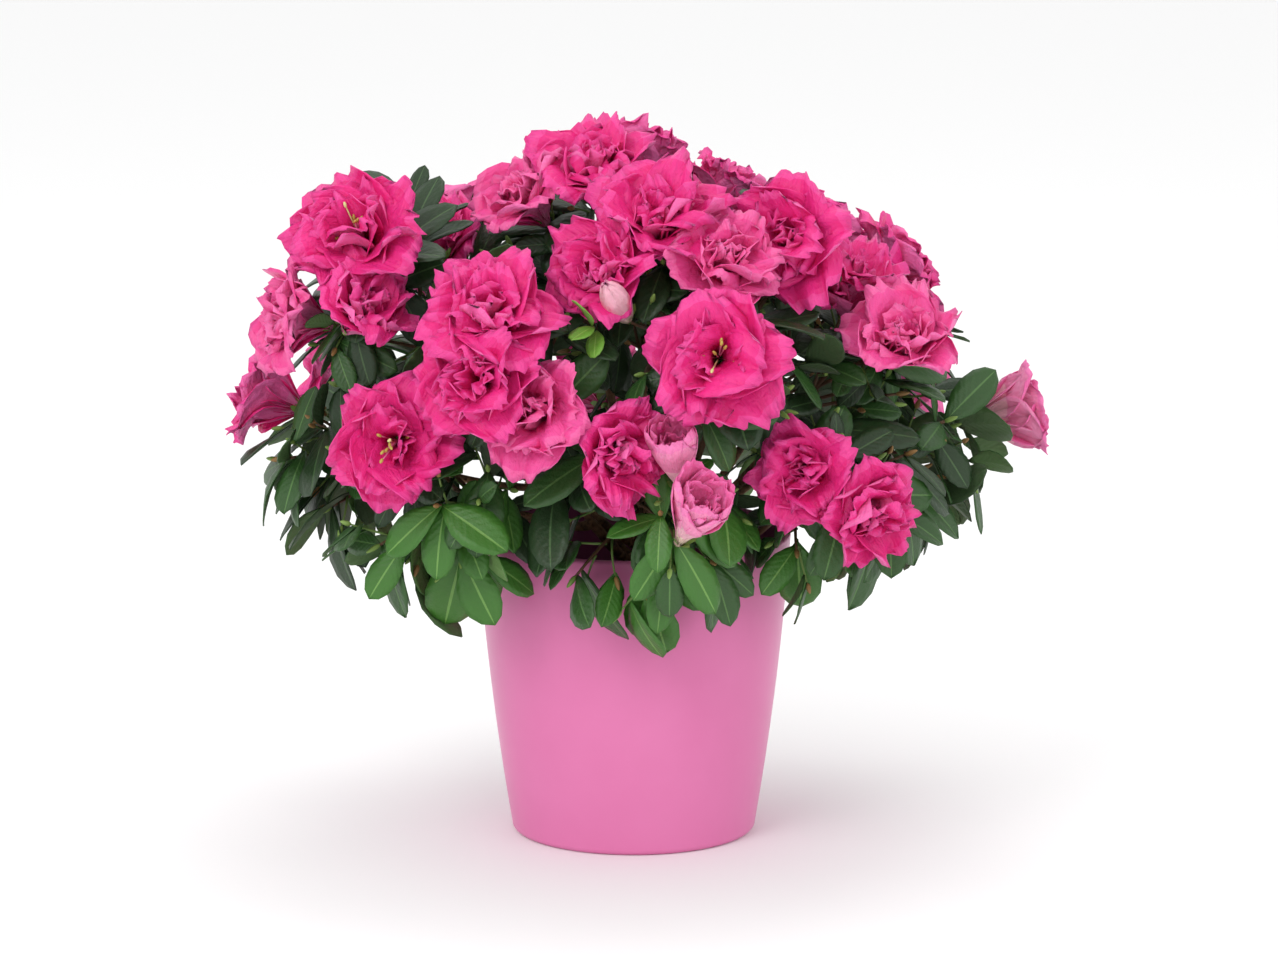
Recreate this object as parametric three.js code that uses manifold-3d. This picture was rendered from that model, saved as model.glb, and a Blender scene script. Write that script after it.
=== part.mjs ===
// A potted azalea in full bloom, in millimetres with +Z up.
// The origin is the middle of the pot's flat underside, and the side that is looked at faces -Y.
import * as THREE from "three";
import { mergeVertices } from "three/addons/utils/BufferGeometryUtils.js";
import Module from "manifold-3d";

const wasm = await Module();
wasm.setup();

// Driving dimensions of the pot and what fills it
const pot = {
  height: 136,
  rimRadius: 70,
  footRadius: 54,
  belly: 1.8,
  wall: 3.8,
  floor: 5,
  footRound: 3,
  lipRound: 1.9,
  wallSteps: 4,
  sides: 36,
};
const soil = { top: 108, flatRadius: 12, crumbleRadius: 27, crumble: 5, clear: 0.8, restClear: 0.3, sides: 20 };

// Driving dimensions of the wood. A joint between two limbs is left this much open.
const jointGap = 0.3;
const trunk = {
  tip: [4, -2, 137],
  sway: [3, 1, 0],
  swayAt: 0.45,
  straightTo: 0.12,
  flareRadius: 8.5,
  flareHeight: 8,
  footRadius: 5.4,
  tipRadius: 3.2,
  sides: 8,
  steps: 5,
};
const leader = { name: "bough_top", mass: "mass_top" };
const bough = { footRadius: 2.7, tipRadius: 1.7, sides: 5, steps: 5, leave: 9, arrive: 0.4, lift: 0.25 };
const sideBough = { footRadius: 1.9, tipRadius: 1.6, sides: 4, steps: 4, leave: 5, arrive: 0.35, lift: 0.1 };
const entersAt = 0.72;
const stem = { radius: 1.7, tipRadius: 1.5, sides: 3, steps: 2, shootsFrom: 0.3 };
const twig = { radius: 0.9, sides: 3 };

// Driving dimensions of a leaf. The shares are of its length.
const leaf = {
  length: 43,
  shorter: 0.74,
  width: 0.48,
  widestAt: 0.56,
  thick: 0.03,
  droop: 0.2,
  spacing: 1.7,
  sunk: 0.3,
  sag: 0.3,
  hang: 0.9,
  skyward: 0.6,
  tries: [1, 0.85, 0.7],
};
const foliageWhorl = { leaves: 7, leanFrom: 40, leanTo: 84 };
const bloomWhorl = { leaves: 4, leanFrom: 60, leanTo: 90, at: 0.95 };

// Driving dimensions of a bloom. The shares are of its petals' length, and that is a share of its width.
// A tilt is in degrees up from the bloom's face, in the bud and wide open.
const bloom = {
  budWidth: 24,
  openWidth: 52,
  petals: 5,
  petalLength: 0.56,
  budPetalLength: 1.12,
  notch: 0.76,
  inner: 0.66,
  innerNotch: 0.52,
  under: 0.3,
  throat: 0.16,
  outerTilt: { bud: 74, open: 22 },
  innerTilt: { bud: 82, open: 54 },
  ruffle: 9,
  thick: 1.3,
  keptLeast: 0.4,
  keptStep: 0.1,
  sampleTurn: 0.2,
  sampleTilt: 6,
  stalk: 13,
  stalkSunk: 2,
  overHeart: 0.27,
  heartStep: 0.04,
  turnedOut: 0.25,
};

// What the growth of a mass keeps clear, and how its shoots are spread
const ownSpaceClear = 0.25;
const limbClear = 0.8;
const potClear = 1.5;
const joinGrid = 0.01;
const samples = { leaf: 8, twig: 16, limbSpacing: 1.5 };
const spreadWays = 30;
const apart = 36;
const shootReach = [0.5, 0.7];
const goldenTurn = Math.PI * (3 - Math.sqrt(5));
const crownHeart = new THREE.Vector3(0, 0, 165);

// The boughs that leave the trunk: the height they leave it at, their turn round it, and the mass at their tip.
// A turn is in degrees, 0 towards the viewer and 90 to the right.
const boughs = [
  { name: "bough_front", height: 131, turn: 8, mass: "mass_front" },
  { name: "bough_front_left", height: 121, turn: -36, mass: "mass_front_left" },
  { name: "bough_front_right", height: 120, turn: 52, mass: "mass_low_right_front" },
  { name: "bough_right", height: 130, turn: 98, mass: "mass_right" },
  { name: "bough_back_right", height: 121, turn: 142, mass: "mass_back_right" },
  { name: "bough_back", height: 130, turn: -172, mass: "mass_back" },
  { name: "bough_back_left", height: 121, turn: -128, mass: "mass_back_left" },
  { name: "bough_left", height: 131, turn: -82, mass: "mass_left" },
];

// The masses of foliage: the middle of the space that each keeps to, its reach, the share of its bough
// where a side bough leaves for it (none where the bough's own tip meets it), its blooms as
// [turn, rise, width] seen from that middle, with the turn and rise that it faces where these differ, the
// ways of shoots that have to be there, and how many leafy shoots it has in all.
const masses = [
  { name: "mass_top", at: [-20, -10, 258], reach: 64, shoots: 5,
    blooms: [[4, 54, 60], [-36, 36, 52, -62, 50], [150, 46, 54]] },
  { name: "mass_upper_front", at: [16, -56, 243], reach: 62, from: "bough_top", share: 0.7, shoots: 5,
    blooms: [[-13, 62, 64], [-40, 26, 54], [34, 34, 56], [-24, 12, 14, -30, 44]] },
  { name: "mass_front", at: [38, -82, 214], reach: 62, shoots: 5,
    blooms: [[-3, 28, 66, -2, 12]] },
  { name: "mass_front_left", at: [-52, -76, 222], reach: 64, shoots: 5,
    blooms: [[-10, 36, 64, -4, 44], [-14, 4, 54], [15, -13, 56, -20, 14]] },
  { name: "mass_low_front", at: [2, -77, 164], reach: 69, from: "bough_front", share: 0.5, shoots: 6,
    blooms: [[-15, 33, 50, 34, 0], [20, 0, 31, 30, 46], [22, 24, 28, -14, 56]], ways: [[12, -60], [-66, -46], [78, -34]] },
  { name: "mass_low_front_left", at: [-78, -58, 166], reach: 68, from: "bough_front_left", share: 0.55,
    shoots: 6, blooms: [[-33, 33, 62, -10, 8]], ways: [[-110, -58], [10, -50], [-60, -30]] },
  { name: "mass_left", at: [-100, -34, 244], reach: 62, shoots: 5,
    blooms: [[-30, 43, 64, -22, 38], [-60, -6, 56, -74, 12], [-22, 2, 46, 40, 46]] },
  { name: "mass_low_left", at: [-112, -14, 172], reach: 64, from: "bough_left", share: 0.55, shoots: 7,
    blooms: [[-112, 24, 46]], ways: [[-80, 0], [-60, -40], [-72, 30]] },
  { name: "mass_low_right_front", at: [80, -54, 167], reach: 62, shoots: 6,
    blooms: [[-6, 18, 54, -12, 6], [22, -2, 50, 34, -6]], ways: [[70, -24], [-34, -58], [20, 60]] },
  { name: "mass_low_right", at: [110, 2, 173], reach: 64, from: "bough_right", share: 0.55, shoots: 7,
    blooms: [[108, 12, 36, 90, 12]], ways: [[84, -8], [64, -40], [50, 24]] },
  { name: "mass_right", at: [88, -28, 216], reach: 60, shoots: 5,
    blooms: [[38, 16, 56, 10, 52], [60, 76, 46]] },
  { name: "mass_upper_right", at: [58, -32, 246], reach: 56, from: "bough_top", share: 0.45, shoots: 5,
    blooms: [[24, 42, 62, -20, 24], [80, 26, 52]] },
  { name: "mass_back_right", at: [74, 50, 212], reach: 62, shoots: 5,
    blooms: [[150, 20, 62], [100, 36, 58], [170, 58, 56]] },
  { name: "mass_upper_back", at: [14, 38, 240], reach: 58, from: "bough_top", share: 0.55, shoots: 4,
    blooms: [[120, 52, 54], [170, 26, 60]] },
  { name: "mass_back", at: [4, 84, 208], reach: 64, shoots: 5,
    blooms: [[165, 26, 62], [-146, 12, 56]] },
  { name: "mass_back_left", at: [-62, 38, 230], reach: 62, shoots: 5,
    blooms: [[-40, 42, 54], [-150, 24, 62], [-104, 34, 56]] },
  { name: "mass_low_back_left", at: [-90, 62, 174], reach: 64, from: "bough_back_left", share: 0.55,
    shoots: 6, blooms: [[-134, 18, 60]] },
  { name: "mass_low_back", at: [-6, 94, 160], reach: 62, from: "bough_back", share: 0.5, shoots: 6,
    blooms: [[-168, 12, 60]] },
  { name: "mass_low_back_right", at: [84, 74, 168], reach: 62, from: "bough_back_right", share: 0.55,
    shoots: 6, blooms: [[138, 20, 60]] },
];

// The same plant grows at every build, from this small seeded generator.
function dice(seed) {
  const largest = 2147483647;
  let state = seed * 7919 + 17;
  return (low, high) => {
    state = (state * 48271) % largest;
    return low + ((high - low) * state) / largest;
  };
}

// A direction from a turn and a rise in degrees.
function heading(turn, rise) {
  const t = THREE.MathUtils.degToRad(turn);
  const r = THREE.MathUtils.degToRad(rise);
  return new THREE.Vector3(Math.sin(t) * Math.cos(r), -Math.cos(t) * Math.cos(r), Math.sin(r));
}

// The part of a vector that lies across an axis, with length 1.
function across(vector, axis) {
  return vector.clone().addScaledVector(axis, -vector.dot(axis)).normalize();
}

// Two directions that stand square to an axis, the second a quarter turn on from the first about it.
function squareTo(axis) {
  const up = Math.abs(axis.z) > 0.95 ? new THREE.Vector3(0, 1, 0) : new THREE.Vector3(0, 0, 1);
  const side = new THREE.Vector3().crossVectors(axis, up).normalize();
  return [side, new THREE.Vector3().crossVectors(axis, side)];
}

// Geometry as a solid that can be joined to others, with points closer than a tolerance made one.
function solidOf(geometry, tolerance = 1e-5) {
  const bare = geometry.clone();
  bare.deleteAttribute("normal");
  bare.deleteAttribute("uv");
  const merged = mergeVertices(bare, tolerance);
  return new wasm.Manifold(
    new wasm.Mesh({
      numProp: 3,
      vertProperties: new Float32Array(merged.attributes.position.array),
      triVerts: new Uint32Array(merged.index.array),
    }),
  );
}

// The one main body of a joined solid, so that loose scraps fall away and sealed hollows are filled.
function mainBody(solid) {
  const [body] = solid.decompose().sort((a, b) => b.volume() - a.volume());
  const mesh = body.getMesh();
  const geometry = new THREE.BufferGeometry();
  geometry.setAttribute("position", new THREE.BufferAttribute(new Float32Array(mesh.vertProperties), 3));
  geometry.setIndex(new THREE.BufferAttribute(new Uint32Array(mesh.triVerts), 1));
  return geometry;
}

// A joined solid's main body with its points set on a fine grid, which takes out the hair-thin slivers
// that joining can leave.
function settled(solid) {
  const joined = mainBody(solid);
  const array = joined.attributes.position.array;
  array.forEach((value, i) => (array[i] = Math.round(value / joinGrid) * joinGrid));
  return mainBody(solidOf(joined, joinGrid / 2));
}

// Whether a joined solid is one body, with every edge between two faces only.
function joinsCleanly(solid) {
  if (solid.decompose().length > 1) return false;
  const { array } = mergeVertices(settled(solid), joinGrid / 2).index;
  const edges = new Set();
  for (let i = 0; i < array.length; i++) {
    const next = i % 3 === 2 ? i - 2 : i + 1;
    edges.add(`${array[i]} ${array[next]}`);
  }
  return edges.size === array.length;
}

const taper = (foot, tip) => (share) => foot + (tip - foot) * share;

// A closed round limb along a curve, its radius given for each share of its length.
function limbGeometry(curve, radiusAt, sides, steps) {
  const geometry = new THREE.CylinderGeometry(1, 1, 1, sides, steps);
  const { normals, binormals } = curve.computeFrenetFrames(steps);
  const position = geometry.attributes.position;
  for (let i = 0; i < position.count; i++) {
    const step = Math.round((position.getY(i) + 0.5) * steps);
    const radius = radiusAt(step / steps);
    const point = curve.getPoint(step / steps);
    point.addScaledVector(normals[step], position.getX(i) * radius);
    point.addScaledVector(binormals[step], -position.getZ(i) * radius);
    position.setXYZ(i, point.x, point.y, point.z);
  }
  return geometry;
}

// A leaf's place: its four corners, root first, and the ridge point over its middle.
function placeLeaf(root, along, face, length) {
  const up = across(face, along);
  const side = new THREE.Vector3().crossVectors(up, along);
  const width = length * leaf.width;
  const thick = length * leaf.thick;
  const point = (share, aside, lift) =>
    root
      .clone()
      .addScaledVector(along, share * length)
      .addScaledVector(side, aside * width)
      .addScaledVector(up, lift - leaf.droop * length * share ** 2);
  const widest = leaf.widestAt;
  const ring = [point(0, 0, 0), point(widest, -0.5, 0), point(1, 0, 0), point(widest, 0.5, 0)];
  return { root, along, side, up, length, width, thick, point, ring };
}

// A thin closed leaf of six faces: four over its corners, and two folded across beneath.
const leafFaces = [0, 1, 4, 1, 2, 4, 2, 3, 4, 3, 0, 4, 0, 3, 1, 2, 1, 3];
function leafGeometry({ ring, thick, point }) {
  const corners = [...ring, point(leaf.widestAt, 0, thick)];
  const flat = corners.flatMap((corner) => corner.toArray());
  const geometry = new THREE.PolyhedronGeometry(flat, leafFaces, 1, 0);
  leafFaces.forEach((corner, i) => geometry.attributes.position.setXYZ(i, ...corners[corner]));
  return geometry;
}

// Limbs are remembered as runs of round points, which the twigs, leaves and blooms of a mass keep clear of.
const limbs = [];
function rememberLimb(name, curve, radiusAt) {
  const count = Math.ceil(curve.getLength() / samples.limbSpacing);
  const points = [];
  for (let i = 0; i <= count; i++) {
    points.push({ at: curve.getPoint(i / count), room: radiusAt(i / count) + limbClear });
  }
  limbs.push({ name, points });
}

// Whether a test holds for every point of the limbs that a mass has to keep clear of.
function clearOfLimbs(mass, test) {
  return limbs.every((limb) => limb.name === mass.name || limb.points.every(test));
}

function leafClearOfLimbs(mass, { root, along, side, up, length, width, thick }) {
  return clearOfLimbs(mass, ({ at, room }) => {
    const from = at.clone().sub(root);
    const share = THREE.MathUtils.clamp(from.dot(along) / length, 0, 1);
    const past = from.dot(along) - share * length;
    const aside = Math.max(0, Math.abs(from.dot(side)) - width / 2);
    const above = Math.abs(from.dot(up) + leaf.droop * length * share ** 2) - thick / 2;
    return Math.hypot(past, aside, Math.max(0, above)) > room;
  });
}

function twigClearOfLimbs(mass, points) {
  return clearOfLimbs(mass, ({ at, room }) => {
    return points.every((point) => point.distanceTo(at) > room + twig.radius);
  });
}

// A bloom's room is half a ball over its heart, with a cone down to its foot.
function bloomClearOfLimbs(mass, heart, facing, length) {
  return clearOfLimbs(mass, ({ at, room }) => {
    const from = at.clone().sub(heart);
    const height = from.dot(facing);
    const aside = Math.sqrt(Math.max(0, from.lengthSq() - height ** 2));
    if (height > -bloom.stalkSunk) return from.length() > length + room;
    return height < -bloom.stalk || aside > bloom.under * length + room;
  });
}

// Each mass keeps to the points nearer to its own middle than to another's, weighed by their reach.
function inOwnSpace(mass, point) {
  const own = point.distanceToSquared(mass.middle) - mass.reach ** 2;
  if (own > 0) return false;
  return masses.every((other) => {
    if (other === mass) return true;
    const theirs = point.distanceToSquared(other.middle) - other.reach ** 2;
    return theirs - own > 2 * ownSpaceClear * other.middle.distanceTo(mass.middle);
  });
}

// The pot's outer radius at a height: a taper whose side swells a little.
function potRadiusAt(z) {
  const share = z / pot.height;
  const straight = pot.footRadius + (pot.rimRadius - pot.footRadius) * share;
  return straight + 4 * pot.belly * share * (1 - share);
}

function clearOfPot(point) {
  if (point.z > pot.height + potClear) return true;
  const radius = Math.hypot(point.x, point.y);
  const inside = radius < potRadiusAt(point.z) - pot.wall - potClear && point.z > soil.top + potClear;
  return inside || radius > potRadiusAt(point.z) + potClear;
}

function leafFits(mass, placed) {
  const { ring, point } = placed;
  if (!ring.every((corner) => inOwnSpace(mass, corner))) return false;
  for (let i = 0; i <= samples.leaf; i++) {
    const row = [-0.4, 0, 0.4].map((aside) => point(i / samples.leaf, aside, 0));
    if (!row.every(clearOfPot)) return false;
  }
  return leafClearOfLimbs(mass, placed);
}

// A whorl of leaves up to a shoot's tip, each a golden angle on from the last, leaning out and drooping.
// A leaf that does not fit is tried again a little shorter.
function whorlOf(mass, tip, along, whorl, roll) {
  const [side, lift] = squareTo(along);
  const leaves = [];
  const firstTurn = roll(0, 2 * Math.PI);
  for (let i = 0; i < whorl.leaves; i++) {
    const turn = firstTurn + i * goldenTurn;
    const lean = THREE.MathUtils.degToRad(roll(whorl.leanFrom, whorl.leanTo));
    const length = leaf.length * roll(leaf.shorter, 1);
    const sag = roll(0, leaf.sag) + Math.max(0, -along.z) * leaf.hang;
    const out = side.clone().multiplyScalar(Math.cos(turn)).addScaledVector(lift, Math.sin(turn));
    const run = along.clone().multiplyScalar(Math.cos(lean)).addScaledVector(out, Math.sin(lean));
    run.z -= sag;
    run.normalize();
    const root = tip.clone().addScaledVector(along, -(i + 0.6) * leaf.spacing);
    root.addScaledVector(run, -leaf.sunk);
    const face = along.clone().add(new THREE.Vector3(0, 0, leaf.skyward));
    const tries = leaf.tries.map((share) => placeLeaf(root, run, face, length * share));
    const placed = tries.find((each) => leafFits(mass, each));
    if (placed) leaves.push(solidOf(leafGeometry(placed)));
  }
  return leaves;
}

// A point of a bloom: a turn about its facing, a tilt up from its face, a share of its petals' length
// out, and a distance below the petal.
function bloomPoint({ heart, facing, side, lift, length }, turn, tilt, share, below = 0) {
  const rise = THREE.MathUtils.degToRad(tilt);
  const outward = share * length * Math.cos(rise) + below * Math.sin(rise);
  const upward = share * length * Math.sin(rise) - below * Math.cos(rise);
  return heart
    .clone()
    .addScaledVector(side, outward * Math.cos(turn))
    .addScaledVector(lift, outward * Math.sin(turn))
    .addScaledVector(facing, upward);
}

// A point of a petal's rim, drawn in towards the heart where it would leave the mass's space.
function rimPoint(mass, place, turn, tilt, share) {
  const turns = [turn - bloom.sampleTurn, turn, turn + bloom.sampleTurn];
  for (let kept = 1; kept > bloom.keptLeast; kept -= bloom.keptStep) {
    const found = bloomPoint(place, turn, tilt, share * kept);
    const near = turns.map((each) => bloomPoint(place, each, tilt - bloom.sampleTilt, share * kept));
    if (inOwnSpace(mass, found) && near.every(clearOfPot)) return found;
  }
  return bloomPoint(place, turn, tilt, bloom.under);
}

// The rims of a double bloom, inner and outer, and the ring under them. The rims are lobed, with the
// inner lobes standing over the outer notches.
function bloomRings(mass, place, opening, roll) {
  const { lerp } = THREE.MathUtils;
  const outerTilt = lerp(bloom.outerTilt.bud, bloom.outerTilt.open, opening);
  const innerTilt = lerp(bloom.innerTilt.bud, bloom.innerTilt.open, opening);
  const columns = bloom.petals * 2;
  const firstTurn = roll(0, 2 * Math.PI);
  const rings = [[], [], []];
  for (let i = 0; i < columns; i++) {
    const turn = firstTurn + (i * 2 * Math.PI) / columns;
    const lobe = i % 2 === 0;
    const outer = outerTilt + roll(-bloom.ruffle, bloom.ruffle) * opening;
    const inner = innerTilt + roll(-bloom.ruffle, bloom.ruffle) * opening;
    rings[0].push(rimPoint(mass, place, turn, inner, lobe ? bloom.innerNotch : bloom.inner));
    rings[1].push(rimPoint(mass, place, turn, outer, lobe ? 1 : bloom.notch));
    rings[2].push(bloomPoint(place, turn, outerTilt, bloom.under, bloom.thick));
  }
  return rings;
}

// A double bloom as one closed surface: from its throat over the rim of the inner petals, down to the rim
// of the outer ones, and back under them to its foot on the stalk.
function bloomGeometry(mass, heart, facing, length, opening, roll) {
  const [side, lift] = squareTo(facing);
  const rings = bloomRings(mass, { heart, facing, side, lift, length }, opening, roll);
  const throat = heart.clone().addScaledVector(facing, bloom.throat * length);
  const foot = heart.clone().addScaledVector(facing, -bloom.stalk);
  const columns = rings[0].length;
  const rows = [Array(columns).fill(throat), ...rings, Array(columns).fill(foot)];
  const geometry = new THREE.SphereGeometry(1, columns, rows.length - 1);
  const position = geometry.attributes.position;
  for (let i = 0; i < position.count; i++) {
    const row = Math.floor(i / (columns + 1));
    const corner = rows[row][(i % (columns + 1)) % columns];
    position.setXYZ(i, corner.x, corner.y, corner.z);
  }
  return geometry;
}

function twigSolid(line) {
  return solidOf(limbGeometry(line, () => twig.radius, twig.sides, 1));
}

function shootFits(mass, line) {
  const points = line.getPoints(samples.twig);
  const inside = points.every((point) => inOwnSpace(mass, point) && clearOfPot(point));
  return inside && twigClearOfLimbs(mass, points);
}

// Where the next shoot leaves its mass's stem. They are spread evenly, up to the stem's tip.
function shootFoot(mass, index) {
  const count = mass.blooms.length + mass.shoots;
  return mass.stem.getPoint(1 - ((1 - stem.shootsFrom) * (index + 0.3)) / count);
}

// Whether the narrow underside of a bloom stays in its mass's space.
function underFits(mass, heart, facing, length) {
  const [side, lift] = squareTo(facing);
  const reach = bloom.under * length + bloom.thick;
  return [side, lift, side.clone().negate(), lift.clone().negate()].every((way) => {
    return inOwnSpace(mass, heart.clone().addScaledVector(way, reach));
  });
}

// The heart of a bloom, as far out on its way as its underside fits the mass's space.
function heartOf(mass, way, facing, length, width) {
  for (let kept = 1; kept > bloom.keptLeast; kept -= bloom.heartStep) {
    const out = (mass.reach - width * bloom.overHeart) * kept;
    const heart = mass.middle.clone().addScaledVector(way, out);
    if (underFits(mass, heart, facing, length)) return heart;
  }
  return null;
}

// A shoot is its twig, its bloom if it has one, and the leaves that fit it. A bloom narrower than an open
// one is still opening, with its petals drawn together.
function bloomingShoot(mass, index, way, [, , width, ...face], roll) {
  const opening = THREE.MathUtils.smoothstep(width, bloom.budWidth, bloom.openWidth);
  const length = width * THREE.MathUtils.lerp(bloom.budPetalLength, bloom.petalLength, opening);
  const outwards = way.clone().lerp(mass.outward, bloom.turnedOut).normalize();
  const facing = face.length ? heading(...face) : outwards;
  const heart = heartOf(mass, way, facing, length, width);
  if (!heart) return [];
  const foot = heart.clone().addScaledVector(facing, bloom.stalkSunk - bloom.stalk);
  const line = new THREE.LineCurve3(shootFoot(mass, index), foot);
  const petals = bloomGeometry(mass, heart, facing, length, opening, roll);
  const leaves = whorlOf(mass, line.getPoint(bloomWhorl.at), line.getTangent(1), bloomWhorl, roll);
  if (!shootFits(mass, line) || !bloomClearOfLimbs(mass, heart, facing, length)) return [];
  return [{ twig: twigSolid(line), petals: solidOf(petals), leaves }];
}

// Shoots that carry leaves alone. After the ways that are given, they are taken from ways spread over
// the whole ball, where these point outwards and between the shoots that are there.
function leafyShoots(mass, taken, roll) {
  const shoots = [];
  const tryWay = (way) => {
    const tip = mass.middle.clone().addScaledVector(way, mass.reach * roll(...shootReach));
    const line = new THREE.LineCurve3(shootFoot(mass, mass.blooms.length + shoots.length), tip);
    const leaves = whorlOf(mass, tip, line.getTangent(1), foliageWhorl, roll);
    if (!shootFits(mass, line)) return;
    taken.push(way);
    shoots.push({ twig: twigSolid(line), leaves });
  };
  for (const [turn, rise] of mass.ways ?? []) tryWay(heading(turn, rise));
  const start = roll(0, 2 * Math.PI);
  for (let i = 0; i < spreadWays && shoots.length < mass.shoots; i++) {
    const z = 1 - (2 * (i + 0.5)) / spreadWays;
    const turn = start + i * goldenTurn;
    const level = Math.sqrt(1 - z * z);
    const way = new THREE.Vector3(level * Math.cos(turn), level * Math.sin(turn), z);
    const crowded = taken.some((other) => other.angleTo(way) < THREE.MathUtils.degToRad(apart));
    if (!crowded && way.dot(mass.outward) > 0) tryWay(way);
  }
  return shoots;
}

// A mass of foliage: one stem that branches into blooming shoots and leafy ones. A leaf that would cut
// through another one, a bloom or another shoot's twig is skipped, and so is one that joins badly.
function growMass(mass, order) {
  const roll = dice(order + 1);
  const radiusAt = taper(stem.radius, stem.tipRadius);
  const ways = mass.blooms.map(([turn, rise]) => heading(turn, rise));
  const blooming = mass.blooms.flatMap((each, i) => bloomingShoot(mass, i, ways[i], each, roll));
  const shoots = [...blooming, ...leafyShoots(mass, ways, roll)];
  const stemSolid = solidOf(limbGeometry(mass.stem, radiusAt, stem.sides, stem.steps));
  const petals = blooming.map((shoot) => shoot.petals);
  let body = wasm.Manifold.union([stemSolid, ...shoots.map((shoot) => shoot.twig), ...petals]);
  const kept = [...petals];
  for (const shoot of shoots) {
    const others = shoots.filter((other) => other !== shoot).map((other) => other.twig);
    for (const each of shoot.leaves) {
      const joined = body.add(each);
      const cut = [...kept, ...others].some((solid) => each.intersect(solid).volume() > 0);
      if (cut || !joinsCleanly(joined)) continue;
      kept.push(each);
      body = joined;
    }
  }
  return settled(body);
}

// Materials, with the colours that the solids are drawn in
const glaze = new THREE.MeshStandardMaterial({ color: 0xd9679f, roughness: 0.25, metalness: 0 });
const peat = new THREE.MeshStandardMaterial({ color: 0x2e1f17, roughness: 0.95, metalness: 0 });
const bark = new THREE.MeshStandardMaterial({ color: 0x5b4030, roughness: 0.85, metalness: 0 });
const blossom = new THREE.MeshStandardMaterial({ color: 0xe8408c, roughness: 0.6, metalness: 0 });

const azalea = new THREE.Group();
azalea.name = "azalea_in_a_pot";

function addNode(name, geometry, material, place = new THREE.Vector3()) {
  const mesh = new THREE.Mesh(geometry, material);
  mesh.name = name;
  mesh.position.copy(place);
  azalea.add(mesh);
}

// Points of a quarter round, from one angle to another about a centre.
function roundCorner(x, y, radius, from, to, steps) {
  const points = [];
  for (let i = 0; i <= steps; i++) {
    const angle = THREE.MathUtils.degToRad(from + ((to - from) * i) / steps);
    points.push(new THREE.Vector2(x + radius * Math.cos(angle), y + radius * Math.sin(angle)));
  }
  return points;
}

// A profile spun about Z. The profile's own axis is Y, so the spun shape is laid over.
function turned(profile, sides) {
  return new THREE.LatheGeometry(profile, sides).rotateX(Math.PI / 2);
}

// Points up a side of the pot, or down it, without its two ends.
function potSide(from, to, inset) {
  const points = [];
  for (let i = 1; i < pot.wallSteps; i++) {
    const z = from + ((to - from) * i) / pot.wallSteps;
    points.push(new THREE.Vector2(potRadiusAt(z) - inset, z));
  }
  return points;
}

function makePot() {
  const foot = potRadiusAt(pot.footRound);
  const lip = pot.rimRadius - pot.lipRound;
  const lipHeight = pot.height - pot.lipRound;
  const innerRound = pot.floor + pot.footRound;
  const innerFoot = potRadiusAt(innerRound) - pot.wall;
  const profile = [
    new THREE.Vector2(0, 0),
    ...roundCorner(foot - pot.footRound, pot.footRound, pot.footRound, -90, 0, 3),
    ...potSide(pot.footRound, lipHeight, 0),
    ...roundCorner(lip, lipHeight, pot.lipRound, 0, 180, 4),
    ...potSide(lipHeight, innerRound, pot.wall),
    ...roundCorner(innerFoot - pot.footRound, innerRound, pot.footRound, 0, -90, 2),
    new THREE.Vector2(0, pot.floor),
  ];
  addNode("pot", turned(profile, pot.sides), glaze);
}

function makeSoil() {
  const foot = pot.floor + soil.restClear;
  const inside = (z) => potRadiusAt(z) - pot.wall - soil.clear;
  const edge = soil.top - soil.crumble;
  const corner = pot.footRound + 1;
  const profile = [
    new THREE.Vector2(0, foot),
    new THREE.Vector2(inside(foot) - corner, foot),
    new THREE.Vector2(inside(foot + corner), foot + corner),
    new THREE.Vector2(inside(edge), edge),
    new THREE.Vector2(soil.crumbleRadius, soil.top - soil.crumble * 0.25),
    new THREE.Vector2(soil.flatRadius, soil.top),
    new THREE.Vector2(0, soil.top),
  ];
  addNode("soil", turned(profile, soil.sides), peat);
}

const trunkFoot = new THREE.Vector3(0, 0, soil.top + soil.restClear);
const trunkTip = new THREE.Vector3(...trunk.tip);
const trunkSway = trunkFoot.clone().lerp(trunkTip, trunk.swayAt).add(new THREE.Vector3(...trunk.sway));
const trunkStraight = trunkFoot.clone();
trunkStraight.z += (trunkTip.z - trunkFoot.z) * trunk.straightTo;
const trunkCurve = new THREE.CubicBezierCurve3(trunkFoot, trunkStraight, trunkSway, trunkTip);

function trunkRadiusAt(share) {
  const rise = share * (trunkTip.z - trunkFoot.z);
  const flare = Math.max(0, 1 - rise / trunk.flareHeight) ** 2;
  const plain = trunk.footRadius + (trunk.tipRadius - trunk.footRadius) * share ** 0.8;
  return plain + (trunk.flareRadius - trunk.footRadius) * flare;
}

function makeTrunk() {
  addNode("trunk", limbGeometry(trunkCurve, trunkRadiusAt, trunk.sides, trunk.steps), bark);
  rememberLimb("trunk", trunkCurve, trunkRadiusAt);
}

// The share of a rising curve at which it reaches a height, found by halving.
function shareAtHeight(curve, z) {
  const close = 1e-6;
  let low = 0;
  let high = 1;
  while (high - low > close) {
    const middle = (low + high) / 2;
    if (curve.getPoint(middle).z < z) low = middle;
    else high = middle;
  }
  return low;
}

// A limb's curve from a parent's side to where it enters a mass, leaving square and arriving head on.
function limbCurve(start, leaveWay, mass, size) {
  const straight = mass.middle.clone().sub(start);
  const arrive = straight.clone().normalize();
  arrive.z += size.lift;
  arrive.normalize();
  const end = mass.middle.clone();
  end.addScaledVector(arrive, -Math.min(mass.reach * entersAt, straight.length() * 0.5));
  return new THREE.CubicBezierCurve3(
    start,
    start.clone().addScaledVector(leaveWay, size.leave),
    end.clone().addScaledVector(arrive, -start.distanceTo(end) * size.arrive),
    end,
  );
}

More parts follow.
